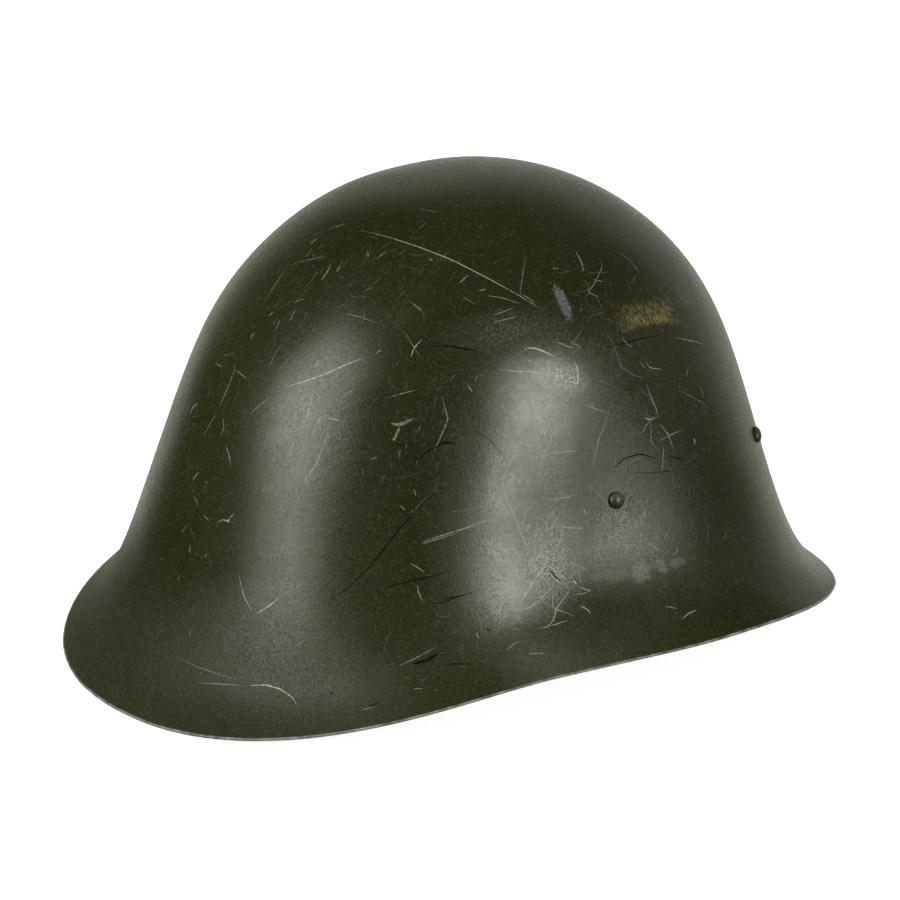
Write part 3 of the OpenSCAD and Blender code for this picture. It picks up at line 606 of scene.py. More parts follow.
def turned(profile, foot, axis, sides=36):
    """A turned form: a profile of (radius, height) from pole to pole, spun round an axis through its foot."""
    axis = np.asarray(axis, float)/np.linalg.norm(axis)
    side = np.cross(axis, [0.3, 0.1, 1.0])
    side /= np.linalg.norm(side)
    other = np.cross(axis, side)
    t = np.arange(sides)*2*np.pi/sides
    q = np.asarray(profile, float)
    round_ = side*np.cos(t)[:, None] + other*np.sin(t)[:, None]
    rings = np.asarray(foot) + q[:, 1, None, None]*axis + q[:, 0, None, None]*round_
    return rings.reshape(-1, 3), grid_faces(len(q), sides, closed_cols=True)


def joined(parts):
    """Several skins as one set of points and faces."""
    points, faces, start = [], [], 0
    for p, f in parts:
        points.append(np.asarray(p).reshape(-1, 3))
        faces.append(np.asarray(f) + start)
        start += len(points[-1])
    return np.concatenate(points), np.concatenate(faces)


# Scratches in the paint

# Lines that the photo shows, as pixels: the line's width in millimetres, how light it is, then its course
CROWN_SCRATCHES = [
    (0.5, 0.85, (350, 229), (368, 232), (392, 238), (419, 247), (450, 259), (468, 268), (493, 281),
     (520, 296), (537, 307), (556, 312)), (0.35, 0.6, (521, 294), (530, 299), (538, 307)),
    (0.4, 0.6, (334, 228), (345, 223)), (0.4, 0.6, (309, 245), (318, 238)),
    (0.25, 0.45, (305, 259), (315, 245)), (0.3, 0.5, (291, 264), (307, 260), (329, 256)),
    (0.3, 0.5, (261, 307), (273, 288), (283, 273), (290, 263)), (0.6, 0.95, (256, 257), (260, 253)),
    (0.4, 0.6, (320, 282), (326, 274), (332, 263)), (0.35, 0.5, (336, 273), (341, 263)),
    (0.3, 0.5, (367, 250), (369, 258)), (0.35, 0.55, (376, 260), (382, 254), (389, 251)),
    (0.35, 0.6, (428, 257), (434, 262)), (0.35, 0.5, (292, 304), (299, 300), (308, 299)),
    (0.35, 0.5, (288, 324), (294, 313), (296, 307)), (0.45, 0.6, (268, 317), (274, 311)),
    (0.35, 0.5, (274, 332), (278, 325), (280, 317)), (0.35, 0.55, (250, 337), (255, 333)),
    (0.25, 0.35, (266, 373), (276, 352), (285, 340)), (0.35, 0.5, (343, 313), (361, 317), (379, 324)),
    (0.3, 0.4, (416, 208), (442, 213)), (0.3, 0.45, (418, 229), (428, 222)),
    (0.3, 0.45, (364, 292), (369, 288), (375, 288)), (0.3, 0.45, (362, 324), (366, 311)),
    (0.45, 0.6, (411, 302), (423, 312)), (0.3, 0.4, (404, 330), (413, 346), (421, 358)),
    (0.5, 0.85, (410, 359), (414, 348), (424, 337)),
]
FRONT_SCRATCHES = [
    (0.55, 1.0, (283, 387), (300, 383), (323, 375), (345, 365), (371, 355)),
    (0.45, 0.7, (376, 354), (382, 349)), (0.4, 0.6, (250, 416), (254, 410), (273, 395)),
    (0.35, 0.55, (235, 361), (235, 369), (228, 387), (217, 412)), (0.3, 0.4, (217, 412), (202, 438)),
    (0.35, 0.5, (235, 369), (249, 381)), (0.45, 0.9, (315, 368), (319, 360)),
    (0.5, 0.8, (302, 430), (308, 414), (314, 388)), (0.35, 0.7, (314, 426), (326, 414)),
    (0.4, 0.8, (323, 418), (335, 419), (347, 423)), (0.3, 0.6, (338, 401), (348, 393), (359, 385)),
    (0.3, 0.55, (323, 450), (330, 421)), (0.35, 0.5, (387, 398), (404, 393), (420, 389)),
    (0.5, 0.6, (189, 416), (193, 407), (200, 400)), (0.35, 0.5, (220, 438), (224, 428), (223, 416)),
    (0.35, 0.45, (213, 361), (221, 367), (227, 364)), (0.35, 0.45, (226, 352), (225, 356), (232, 353)),
    (0.4, 0.7, (289, 460), (294, 440)), (0.45, 0.75, (300, 485), (315, 467), (324, 444)),
    (0.35, 0.6, (277, 513), (287, 497)), (0.3, 0.5, (262, 495), (265, 485)),
    (0.45, 0.75, (192, 481), (199, 471)), (0.4, 0.6, (225, 443), (229, 455), (232, 469)),
    (0.4, 0.55, (194, 495), (199, 508)),
    (0.55, 0.7, (215, 524), (223, 519), (228, 522), (231, 516), (236, 513)),
    (1.2, 0.6, (227, 519), (229, 523)), (0.4, 0.5, (203, 514), (210, 522)),
    (0.4, 0.5, (190, 543), (190, 555)), (0.35, 0.45, (180, 574), (177, 582)),
    (0.35, 0.45, (181, 535), (188, 522)), (0.3, 0.5, (205, 558), (207, 553)),
    (0.4, 0.75, (238, 572), (244, 597), (254, 615)), (0.55, 0.95, (254, 615), (269, 606), (282, 595)),
    (0.3, 0.45, (282, 595), (312, 579)), (0.35, 0.5, (241, 619), (246, 615)),
    (0.3, 0.45, (294, 647), (307, 639)), (0.3, 0.4, (188, 637), (192, 628)),
    (0.35, 0.55, (400, 505), (406, 511)), (0.35, 0.55, (411, 509), (413, 513)),
    (0.35, 0.5, (414, 488), (416, 497)), (0.4, 0.55, (409, 562), (426, 573)),
    (0.4, 0.6, (417, 583), (418, 591), (424, 604)), (0.35, 0.45, (395, 668), (414, 659), (440, 645)),
    (0.5, 0.55, (417, 544), (437, 537), (466, 528), (487, 520), (503, 515)),
    (0.4, 0.5, (419, 545), (438, 539), (460, 532)), (0.35, 0.45, (359, 711), (378, 705)),
    (0.3, 0.45, (412, 688), (418, 689), (425, 688)), (0.35, 0.45, (378, 456), (370, 460)),
    (0.6, 0.85, (246, 686), (256, 685), (267, 685), (280, 689), (292, 697), (298, 707)),
    (0.35, 0.45, (194, 683), (223, 684), (246, 686)), (0.3, 0.35, (172, 655), (200, 668), (240, 681)),
]
SIDE_SCRATCHES = [
    (0.4, 0.5, (441, 393), (448, 419), (442, 434), (432, 456)),
    (0.3, 0.45, (526, 252), (523, 273), (520, 293), (524, 304)), (0.4, 0.6, (458, 284), (471, 273)),
    (0.45, 0.65, (477, 291), (487, 289)), (0.35, 0.5, (484, 295), (503, 298), (524, 305)),
    (0.35, 0.5, (490, 316), (503, 312), (517, 306)), (0.35, 0.5, (490, 323), (520, 316)),
    (0.35, 0.45, (462, 296), (476, 305)), (0.6, 0.6, (575, 250), (581, 261), (585, 275)),
    (0.35, 0.5, (600, 256), (602, 267), (596, 281), (589, 292), (583, 302)),
    (0.4, 0.6, (592, 279), (604, 282)), (0.35, 0.5, (589, 284), (588, 292), (602, 299)),
    (0.4, 0.55, (551, 268), (560, 269)),
    (0.3, 0.4, (602, 325), (610, 338), (618, 357), (621, 367), (635, 376), (652, 380)),
    (0.4, 0.6, (673, 337), (696, 342), (708, 346)), (0.4, 0.6, (621, 336), (627, 344), (634, 348)),
    (0.45, 0.65, (645, 361), (650, 368), (661, 369), (663, 372)), (0.35, 0.5, (639, 361), (646, 369)),
    (0.7, 1.0, (522, 353), (526, 348), (535, 348), (545, 352), (554, 356), (555, 362)),
    (0.5, 0.9, (528, 358), (532, 366)), (0.35, 0.7, (531, 360), (545, 369)),
    (0.5, 0.95, (497, 369), (510, 371), (537, 372), (552, 373)),
    (0.8, 1.0, (573, 359), (578, 369), (578, 384), (572, 382), (564, 380)),
    (0.9, 1.0, (541, 397), (546, 405)), (0.6, 1.0, (532, 408), (537, 416), (543, 421), (549, 423)),
    (0.45, 0.85, (555, 341), (564, 345), (578, 350)), (0.35, 0.6, (567, 338), (585, 351)),
    (0.4, 0.6, (577, 402), (593, 408), (610, 414), (612, 409)), (0.4, 0.6, (613, 410), (606, 418),
     (603, 430), (599, 439), (596, 451), (593, 466), (594, 473), (590, 473)),
    (0.55, 0.6, (646, 382), (650, 395), (657, 411), (659, 422)),
    (0.8, 0.6, (643, 417), (650, 420), (658, 416)), (0.45, 0.55, (640, 436), (646, 426), (652, 418)),
    (0.4, 0.55, (651, 420), (651, 441), (660, 453)), (0.45, 0.6, (659, 422), (669, 436), (683, 429)),
    (0.4, 0.55, (656, 442), (669, 436), (675, 453)), (0.4, 0.5, (662, 474), (664, 443)),
    (0.45, 0.55, (700, 384), (704, 401)), (0.3, 0.4, (679, 390), (705, 404), (709, 411)),
    (0.4, 0.5, (686, 378), (688, 368), (691, 365)), (0.8, 0.55, (694, 437), (695, 445)),
    (0.4, 0.7, (543, 497), (538, 485), (541, 460), (551, 439), (564, 426), (574, 418)),
    (0.45, 0.8, (543, 497), (552, 500), (568, 497), (577, 494)),
    (0.45, 0.8, (521, 533), (526, 512), (535, 502), (543, 500)),
    (0.5, 0.85, (526, 430), (512, 460), (502, 478), (504, 493), (514, 514), (521, 531), (528, 548)),
    (0.4, 0.75, (549, 453), (579, 451)), (0.35, 0.7, (563, 444), (575, 455)),
    (0.4, 0.6, (490, 511), (492, 493)), (0.5, 0.55, (467, 384), (473, 393)),
    (0.4, 0.5, (475, 382), (478, 374)), (0.3, 0.5, (494, 394), (513, 380)),
    (0.6, 1.0, (526, 534), (529, 525), (534, 524)), (0.5, 0.95, (547, 522), (556, 507)),
    (0.5, 0.7, (583, 508), (587, 516)), (0.4, 0.55, (644, 505), (646, 521)),
    (0.35, 0.5, (587, 483), (611, 508)), (0.55, 0.6, (634, 513), (637, 513)),
    (0.55, 0.95, (546, 564), (556, 571), (571, 583)), (0.5, 0.9, (545, 567), (556, 580), (566, 587)),
    (1.0, 0.9, (573, 580), (577, 585)), (0.55, 0.6, (578, 586), (586, 590), (594, 591)),
    (0.5, 0.85, (573, 586), (556, 609), (554, 619), (548, 627), (533, 629)),
    (0.45, 0.75, (552, 586), (553, 608), (577, 617)), (0.45, 0.65, (548, 627), (571, 619)),
    (0.6, 0.65, (578, 605), (587, 609), (592, 615)),
    (0.7, 0.9, (519, 607), (526, 593), (538, 575), (549, 562)),
    (0.65, 0.85, (504, 611), (515, 610), (529, 608), (539, 601), (553, 586)),
    (0.45, 0.65, (490, 605), (495, 597)), (0.45, 0.75, (494, 559), (491, 545), (494, 535)),
    (0.4, 0.65, (494, 550), (510, 551), (516, 545)), (0.5, 0.9, (516, 520), (521, 533), (532, 556)),
    (0.4, 0.8, (538, 523), (533, 548)), (0.45, 0.85, (563, 520), (562, 537), (554, 553), (556, 565)),
    (0.45, 0.75, (556, 525), (569, 528), (583, 528), (583, 537)), (0.35, 0.45, (601, 536), (602, 551)),
    (0.4, 0.55, (646, 541), (656, 549), (665, 551)), (0.35, 0.45, (679, 546), (673, 557)),
    (0.35, 0.6, (569, 561), (592, 573)), (0.3, 0.4, (470, 585), (480, 567)),
    (0.55, 0.55, (476, 632), (479, 639)), (0.45, 0.55, (504, 652), (515, 643), (525, 640)),
    (0.55, 0.55, (513, 629), (520, 629)), (0.5, 0.55, (527, 654), (548, 653)),
    (0.4, 0.5, (664, 606), (679, 609)), (0.6, 0.55, (681, 620), (689, 613), (700, 609)),
    (0.45, 0.7, (517, 575), (525, 581)), (0.4, 0.6, (513, 614), (525, 626)),
]
TAN_MARKS = [
    (1.7, 0.52, (389, 423), (399, 425), (408, 421), (417, 417)),
    (1.5, 0.52, (400, 426), (397, 433), (394, 441)), (1.6, 0.5, (393, 437), (395, 441)),
]
DARK_MARKS = [
    (0.6, -1.0, (418, 345), (433, 346), (450, 346), (459, 348), (489, 353)),
    (0.5, -1.0, (598, 348), (619, 345), (640, 339), (657, 336), (664, 329)),
    (0.55, -1.0, (611, 470), (625, 458), (640, 454), (656, 458), (664, 462)),
    (0.45, -1.0, (666, 456), (677, 458), (687, 462)),
    (0.4, -0.8, (629, 472), (648, 473), (671, 471), (684, 464)), (0.45, -0.9, (619, 392), (635, 387)),
    (0.4, -0.8, (472, 428), (491, 441), (506, 459)), (0.55, -1.0, (434, 445), (445, 442), (459, 444)),
    (0.55, -1.0, (443, 489), (428, 497), (414, 513), (399, 529), (384, 549), (367, 570), (344, 591),
     (324, 604)), (0.55, -1.0, (370, 593), (399, 584), (428, 577), (460, 569)),
    (0.45, -0.9, (424, 604), (441, 603), (460, 596), (480, 590)),
    (0.5, -1.0, (411, 440), (412, 453), (417, 460), (428, 451), (443, 444), (460, 443)),
    (0.5, -0.9, (405, 442), (388, 454)), (1.3, -1.0, (409, 665), (428, 660), (443, 650)),
    (0.45, -0.9, (367, 707), (383, 701)), (0.5, -0.9, (440, 601), (453, 597), (469, 595)),
    (0.55, -0.9, (440, 664), (476, 664)), (0.45, -0.8, (481, 626), (495, 633)),
    (0.5, -0.9, (643, 629), (650, 625)), (0.8, -0.9, (333, 694), (330, 693)),
    (0.7, -0.9, (249, 354), (251, 355)), (0.5, -0.8, (192, 556), (201, 560)),
    (0.8, -1.0, (548, 568), (556, 578), (564, 583)),
]
BLUE_LINES = [(0.55, 0.9, (616, 250), (630, 260), (642, 277)), (0.4, 0.6, (653, 280), (667, 298), (681, 315))]

# Fields of fine scratches: middle and reach in pixels, how many, their slope and its spread in degrees, how
# light
FINE_FIELDS = {
    "crown front": ((310, 285), (60, 50), 70, 40, 25, 0.45),
    "crown middle": ((420, 260), (60, 50), 50, 20, 60, 0.4),
    "front wall": ((305, 420), (45, 70), 90, 60, 40, 0.6),
    "front edge": ((200, 470), (40, 90), 50, 60, 30, 0.4),
    "top of side": ((548, 378), (44, 30), 150, -20, 60, 0.85),
    "side": ((545, 455), (42, 60), 190, 60, 60, 0.75),
    "low side": ((545, 565), (40, 46), 260, 55, 50, 0.9),
    "rear of side": ((655, 400), (45, 70), 90, -60, 60, 0.45),
    "rear low": ((680, 520), (60, 60), 50, 30, 80, 0.4),
    "middle wall": ((430, 470), (40, 90), 50, 60, 60, 0.4),
    "rear crown": ((600, 290), (60, 50), 50, -50, 50, 0.45),
    "brim": ((480, 640), (120, 40), 50, 15, 40, 0.4),
    "brim front": ((170, 640), (70, 50), 30, 20, 40, 0.35),
}
FINE_ALL_ROUND = 420
SCRATCH_SEED = 1943
# In millimetres, a scratch's ridge over its edges, and how far its edges lie under the skin
RIDGE, SINK = 0.045, 0.012
# How many times wider a dark mark is than a light one, and a fine scratch's step in metres
DARK_WIDER = 1.5
WANDER_STEP = 0.0009


def ribbon(places, normals, width):
    """A raised scratch along places on the skin: three points across, the middle one 0.033 mm proud and the
    two edges, which taper to nothing at both ends as a sine, just under the skin."""
    p, n = np.array(places), np.array(normals)
    side = np.cross(n, np.gradient(p, axis=0))
    side /= np.linalg.norm(side, axis=1, keepdims=True) + 1e-12
    t = np.linspace(0, 1, len(p))
    taper = np.sin(np.pi*t)**0.6
    wide = width/2*MM*taper
    mid = p[:, None] + side[:, None]*(wide[:, None]*np.array([-1, 0, 1]))[..., None] - n[:, None]*SINK*MM
    half = np.stack([0*t, RIDGE*MM*taper, 0*t], -1)
    half[[0, -1]] = 0
    return leaf(mid, np.repeat(n[:, None], 3, 1), half)


def course(pixels, step=2.5):
    """Places and normals along a line of pixels, rounded off and cast on to the shell."""
    span = np.linalg.norm(np.diff(pixels, axis=0), axis=1).sum()
    line = smooth_path(np.array(pixels, float), min(step, span/5)/4, 5)[::4]
    hits = [on_shell(x, y) for x, y in line]
    hits = [(tuple(p), tuple(n)) for p, n in hits if p is not None]
    return [p for p, _ in hits], [n for _, n in hits]


def wander(place, way, length, bend):
    """Places and normals of a line that sets off from a place and turns evenly, kept on the skin."""
    places, normals = [], []
    place, normal, _, _ = skin.find_nearest(place)
    for _ in range(max(4, int(length/WANDER_STEP))):
        places.append(tuple(place))
        normals.append(tuple(normal))
        way = (way - normal*way.dot(normal)).normalized()
        way = Matrix.Rotation(bend*WANDER_STEP, 3, normal) @ way
        place, normal, _, _ = skin.find_nearest(place + way*WANDER_STEP)
    return places, normals


def scratch_paint():
    """Bruised paint: each line's own lightness from its attribute, broken up so that the olive shows
    through."""
    s = Shade("scratched paint")
    tone = s.mix(s.spread(s.attribute("lightness"), 0, 1), srgb(56, 58, 34), srgb(190, 190, 178))
    tone = s.mix(s.attribute("tan"), tone, srgb(118, 116, 90))
    tone = s.mix(s.attribute("blue"), tone, srgb(58, 84, 108))
    broken = s.spread(s.noise(900, 3, 0.7), 0.52, 0.62, 0, 0.7)
    return s.surface({"Base Color": s.mix(broken, tone, srgb(46, 48, 22)), "Roughness": 0.5,
                      "Specular IOR Level": 0.35, "Normal": s.bump(s.noise(1600, 2, 0.6), 0.00005, 0.5)})


def dark_paint():
    """Paint rubbed through to a matt black-green, a little uneven."""
    s = Shade("rubbed dark paint")
    tone = s.mix(s.spread(s.noise(700, 3, 0.6), 0.4, 0.7), srgb(12, 13, 4), srgb(30, 31, 12))
    return s.surface({"Base Color": tone, "Roughness": 0.9, "Specular IOR Level": 0.1})


def photo_lines():
    """The light lines that the photo shows: places, normals, width, lightness, and how tan and how blue
    each is."""
    for group, tan, blue in ((CROWN_SCRATCHES, 0.15, 0), (FRONT_SCRATCHES, 0, 0), (SIDE_SCRATCHES, 0, 0),
                             (TAN_MARKS, 1, 0), (BLUE_LINES, 0, 0.8)):
        for width, light, *pixels in group:
            yield *course(pixels), width, light, tan, blue


def fine_lines(rng):
    """Seeded fine scratches: fields of them, with normal draws about a middle pixel and a slope and gamma
    draws for their lengths, then some on all sides of the shell."""
    right, up, _ = camera_axes()
    for middle, reach, count, slope, spread, light in FINE_FIELDS.values():
        for _ in range(count):
            place, normal = on_shell(*rng.normal(middle, np.array(reach)/2))
            if place is None or normal.dot(place - Vector((0, 0, 0.05))) < 0:
                continue
            lean = math.radians(rng.normal(slope, spread))
            way = right*math.cos(lean) + up*math.sin(lean)
            length = 0.0012 + 0.0035*rng.gamma(1.3)
            yield (*wander(place, way, min(length, 0.014), rng.normal(0, 60)), rng.uniform(0.10, 0.22),
                   light*(rng.uniform(0.1, 0.8) if light < 0.8 else rng.uniform(0.35, 1.1)), 0, 0)
    for _ in range(FINE_ALL_ROUND):
        az, z = rng.uniform(0, 2*np.pi), 0.177*rng.uniform(0, 1)**0.8
        place = Vector((0.2*math.sin(az), -0.2*math.cos(az), z))
        place, normal, _, _ = skin.ray_cast(place, (Vector((0, 0, 0.45*z + 0.03)) - place).normalized())
        if place is None:
            continue
        way = Vector(rng.normal(0, 1, 3))
        yield (*wander(place, way, 0.001 + 0.0024*rng.gamma(1.3), rng.normal(0, 50)), rng.uniform(0.12, 0.24),
               rng.uniform(0.0, 0.45), 0, 0)


def marks_piece(name, parts, material):
    """Ribbons joined into one piece on the shell."""
    piece = mesh_piece(name, *joined(parts))
    piece.data.materials.append(material)
    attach(piece, "helmet")
    return piece


def make_marks():
    """The dark marks, and the light scratches with an attribute for each line's shade."""
    dark = [ribbon(*course(pixels), DARK_WIDER*width*abs(light)) for width, light, *pixels in DARK_MARKS]
    marks_piece("dark_marks", dark, dark_paint())
    rng = np.random.default_rng(SCRATCH_SEED)
    lines = [line for line in (*photo_lines(), *fine_lines(rng)) if len(line[0]) > 3]
    parts = [ribbon(*line[:3]) for line in lines]
    piece = marks_piece("paint_scratches", parts, scratch_paint())
    values = np.repeat([line[3:] for line in lines], [len(points) for points, _ in parts], 0)
    for name, column in zip(("lightness", "tan", "blue"), values.T):
        give(piece, name, np.ascontiguousarray(column))


make_marks()


# Leather, felt, cord and steel


def leather(name, deep, pale, shine, grain):
    """Vegetable tanned leather: cloudy tone, a pebbled grain of cells, fine creases and darker rubbed
    places."""
    s = Shade(name)
    tone = s.mix(s.spread(s.noise(28, 4, 0.6), 0.35, 0.65), deep, pale)
    rubbed = tuple(0.55*c for c in deep[:3]) + (1,)
    tone = s.mix(s.spread(s.noise(9, 3, 0.6), 0.55, 0.7, 0, 0.5), tone, rubbed)
    tone = s.mix(s.spread(s.noise(420, 2, 0.5), 0.6, 0.8, 0, 0.3), tone, pale)
    cells = s.add("ShaderNodeTexVoronoi", {"Vector": s.coords, "Scale": grain}, feature="DISTANCE_TO_EDGE")
    pebble = s.bump(s.spread(cells.outputs["Distance"], 0, 0.25), 0.00012, 0.5)
    crease = s.bump(s.noise(240, 4, 0.65, stretch=(2.2, 2.2, 1)), 0.0005, 0.35, pebble)
    rough = s.spread(s.noise(70, 3, 0.6), 0.3, 0.7, shine - 0.07, shine + 0.08)
    return s.surface({"Base Color": tone, "Roughness": rough, "Normal": crease})


def dull_steel():
    """Plain steel with a grey skin: drawn streaks, cloudy stain and freckles of brown rust."""
    s = Shade("dull steel")
    tone = s.mix(s.spread(s.noise(45, 4, 0.6), 0.35, 0.65), srgb(112, 112, 108), srgb(160, 160, 155))
    rust = s.spread(s.noise(150, 5, 0.7), 0.60, 0.70)
    drawn = s.bump(s.noise(700, 2, 0.5, stretch=(1, 1, 5)), 0.00008, 0.4)
    tone = s.mix(rust, tone, srgb(96, 62, 38))
    return s.surface({"Base Color": tone, "Metallic": s.spread(rust, 0, 1, 0.9, 0.1),
                      "Roughness": s.spread(s.noise(300, 3, 0.6), 0.3, 0.7, 0.34, 0.5), "Normal": drawn})


def grey_felt():
    """Pressed wool felt: speckled greys with a deep soft nap."""
    s = Shade("grey felt")
    tone = s.mix(s.spread(s.noise(900, 3, 0.7), 0.3, 0.7), srgb(78, 77, 70), srgb(140, 138, 128))
    tone = s.mix(s.spread(s.noise(60, 4, 0.6), 0.55, 0.75, 0, 0.4), tone, srgb(92, 84, 66))
    nap = s.bump(s.noise(1100, 4, 0.7, warp=0.6), 0.0006, 0.7)
    return s.surface({"Base Color": tone, "Roughness": 0.95, "Sheen Weight": 0.4, "Sheen Roughness": 0.5,
                      "Normal": nap})


def cotton(name, deep, pale):
    """Cotton cord or thread: off-white with grey in the hollows between its yarns."""
    s = Shade(name)
    return s.surface({"Base Color": s.mix(s.spread(s.noise(500, 4, 0.6), 0.3, 0.65), deep, pale),
                      "Roughness": 0.9, "Normal": s.bump(s.noise(1500, 3, 0.7), 0.0002, 0.6)})


TAN = leather("tan liner leather", srgb(120, 80, 46), srgb(166, 120, 76), 0.55, 1100)
BROWN = leather("brown strap leather", srgb(64, 40, 24), srgb(100, 66, 40), 0.42, 1500)
STEEL = dull_steel()
FELT = grey_felt()
LACE = cotton("cotton lace", srgb(150, 138, 110), srgb(214, 205, 178))
THREAD = cotton("waxed thread", srgb(140, 122, 88), srgb(190, 172, 132))

for fitting in ("rivet_washers", "bracket_side_left", "bracket_side_right", "bracket_rear_left",
                "bracket_rear_right", "liner_hoop", "hoop_rivets", "ring_left", "ring_right",
                "strap_rivets_left", "strap_rivet_right", "buckle_frame", "buckle_roller", "buckle_prong"):
    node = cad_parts[fitting]
    node.data.materials.clear()
    node.data.materials.append(STEEL)


# Shell rivets

RIVET_H = 70.5
SIDE_AZ, REAR_AZ = 98, 146
HEAD_R, HEAD_H, SHANK_R = 3.2, 2.1, 1.9
TAB_GAP, BRACKET_T, WASHER_T, TAIL_H = 0.7, 1.0, 0.8, 1.0
# Room between a rivet and its hole, and between parts pressed together, in millimetres
TOUCH = 0.05


def wall_place(az, z):
    """A point on the inner wall and the wall's outward heading and upward lean there, in degrees."""
    a = np.radians(np.array([az, az - 2, az + 2, az, az]))
    r = wall_radius(a, np.array([z, z, z, z - 4, z + 4]), SHEET)
    p = on_dome(r, a, np.full(5, float(z)))
    d = p[2] - p[1]
    heading = math.degrees(math.atan2(d[1], d[0]))
    lean = math.degrees(math.atan((r[3] - r[4])*math.cos(math.radians(az - heading))/8))
    return p[0], heading, lean


def make_shell_rivets():
    """Four rivets, each a profile spun round the wall's normal: a domed head as a quarter ellipse on a low
    collar of paint, a shank through wall, bracket and washer, and a closed end. The side ones lie square to
    the wall's flank, and stand further out by their slant."""
    t = np.radians(np.linspace(90, 0, 10))
    low = -(TAB_GAP + BRACKET_T + TOUCH + WASHER_T + TOUCH)
    end, collar, tail_r = low - TAIL_H, 0.25, SHANK_R + 0.9
    parts = []
    for side in (1, -1):
        for az, faced in ((SIDE_AZ, 90), (REAR_AZ, None)):
            foot, heading, lean = wall_place(side*az, RIVET_H)
            slant = HEAD_R*math.tan(math.radians(abs(abs(heading) - faced))) if faced else 0.0
            seat = SHEET + TOUCH + slant
            dome = [(HEAD_R*math.cos(u), seat + collar + (HEAD_H - collar)*math.sin(u)) for u in t]
            rest = [(HEAD_R, seat), (HEAD_R - 0.1, seat - 0.12), (SHANK_R, seat - 0.12), (SHANK_R, low),
                    (tail_r, low), (tail_r, end + 0.2), (tail_r - 0.2, end), (0, end)]
            profile = np.array([(0, dome[0][1])] + dome[1:] + rest)*MM
            parts.append(turned(profile, foot, from_side(side*faced if faced else heading, lean)))
    rivets = closed_piece("painted_rivets", joined(parts), PAINT, node="shell_rivets")
    give(rivets, "bare", np.full(len(rivets.data.vertices), 0.1))


make_shell_rivets()


# Liner: headband, tongues, lace and pads

HEAD_W, HEAD_L, HEAD_Y = 156.0, 200.0, 4.5
LEATHER_T = 2.2
BAND_TOP = 79.0
TONGUE_LOW, TONGUE_RISE, TONGUE_T = 79.25, 71.0, 1.8
TONGUE_TIP_R, HEM_R = 18.2, 15.8
TONGUE_COUNT = 8
LACE_R, LACE_RING_R = 1.1, 16.0
# The lace's twist in radians per metre, and how far outside the head oval the pads begin
LACE_TWIST = 2100
PAD_FROM = 4.15


def oval_radius(a, extra):
    """Radius of the head oval, extra millimetres outside it, at azimuth a."""
    return 1/np.sqrt((np.sin(a)/(HEAD_W/2 + extra))**2 + (np.cos(a)/(HEAD_L/2 + extra))**2)


def on_oval(a, extra, z):
    """Points on the head oval grown by extra, spaced by the angle of its circle: x = A sin a, y = -B cos
    a."""
    return np.stack([(HEAD_W/2 + extra)*np.sin(a), HEAD_Y - (HEAD_L/2 + extra)*np.cos(a), z + 0*a], -1)*MM


def make_headband():
    """The sweatband: a hooked section carried round the head oval, with a rounded top edge, a soft roll
    under the hoop and a turned-up lip, and slow waves in the leather: sines of the azimuth, less near the
    hoop."""
    a = np.arange(240)*2*np.pi/240
    face, roll_r, roll_z, lip_z = LEATHER_T/2, 2.075, 46.35, 48.4
    path = np.concatenate([[[face, BAND_TOP - 0.2], [face, roll_z + 0.05]],
                           arc(face + roll_r, roll_z, roll_r, 180, 360, 16), [[face + 2*roll_r, lip_z]]])
    path = smooth_path(path, 0.5, 3)
    d = np.gradient(path, axis=0)
    n = np.stack([d[:, 1], -d[:, 0]], -1)/np.linalg.norm(d, axis=1, keepdims=True)
    s = np.concatenate([[0], np.cumsum(np.linalg.norm(np.diff(path, axis=0), axis=1))])
    half = rounded(np.minimum(s, s[-1] - s), 1.0, LEATHER_T/2)[:, None]
    loop = np.concatenate([path + n*half, (path - n*half)[-2:0:-1]])
    wave = 0.35*np.sin(7*a + 0.6) + 0.25*np.sin(11*a + 2.0) + 0.18*np.sin(23*a + 1.1)
    free = np.clip((loop[:, 1] - 66)/13, 0, 1)
    e = loop[:, 0][:, None] - np.abs(wave[None])*0.5*free[:, None]
    z = loop[:, 1][:, None] + 0.35*np.sin(9*a + 1.2)[None]*free[:, None]
    grid = np.stack([(HEAD_W/2 + e)*np.sin(a)[None], HEAD_Y - (HEAD_L/2 + e)*np.cos(a)[None], z], -1)*MM
    faces = grid_faces(len(loop), len(a), closed_rows=True, closed_cols=True)
    closed_piece("sweatband", (grid.reshape(-1, 3), faces), TAN, node="headband")


def make_stitches():
    """Waxed thread in the sweatband: short rods end to end, each a little capsule that dips at both ends."""
    count, rows, room = 120, (50.2, 75.6), 0.006
    dip = np.array([0.5, 0.12, 0, 0, 0.12, 0.5]) - 0.12
    a = np.arange(count)*2*np.pi/count
    parts = [tube(on_oval(np.linspace(start + room, start + 2*np.pi/count - room, 6), dip, z), 0.34*MM,
                  (0, 0, 1), sides=6) for z in rows for start in a]
    closed_piece("sweatband_stitching", joined(parts), THREAD)


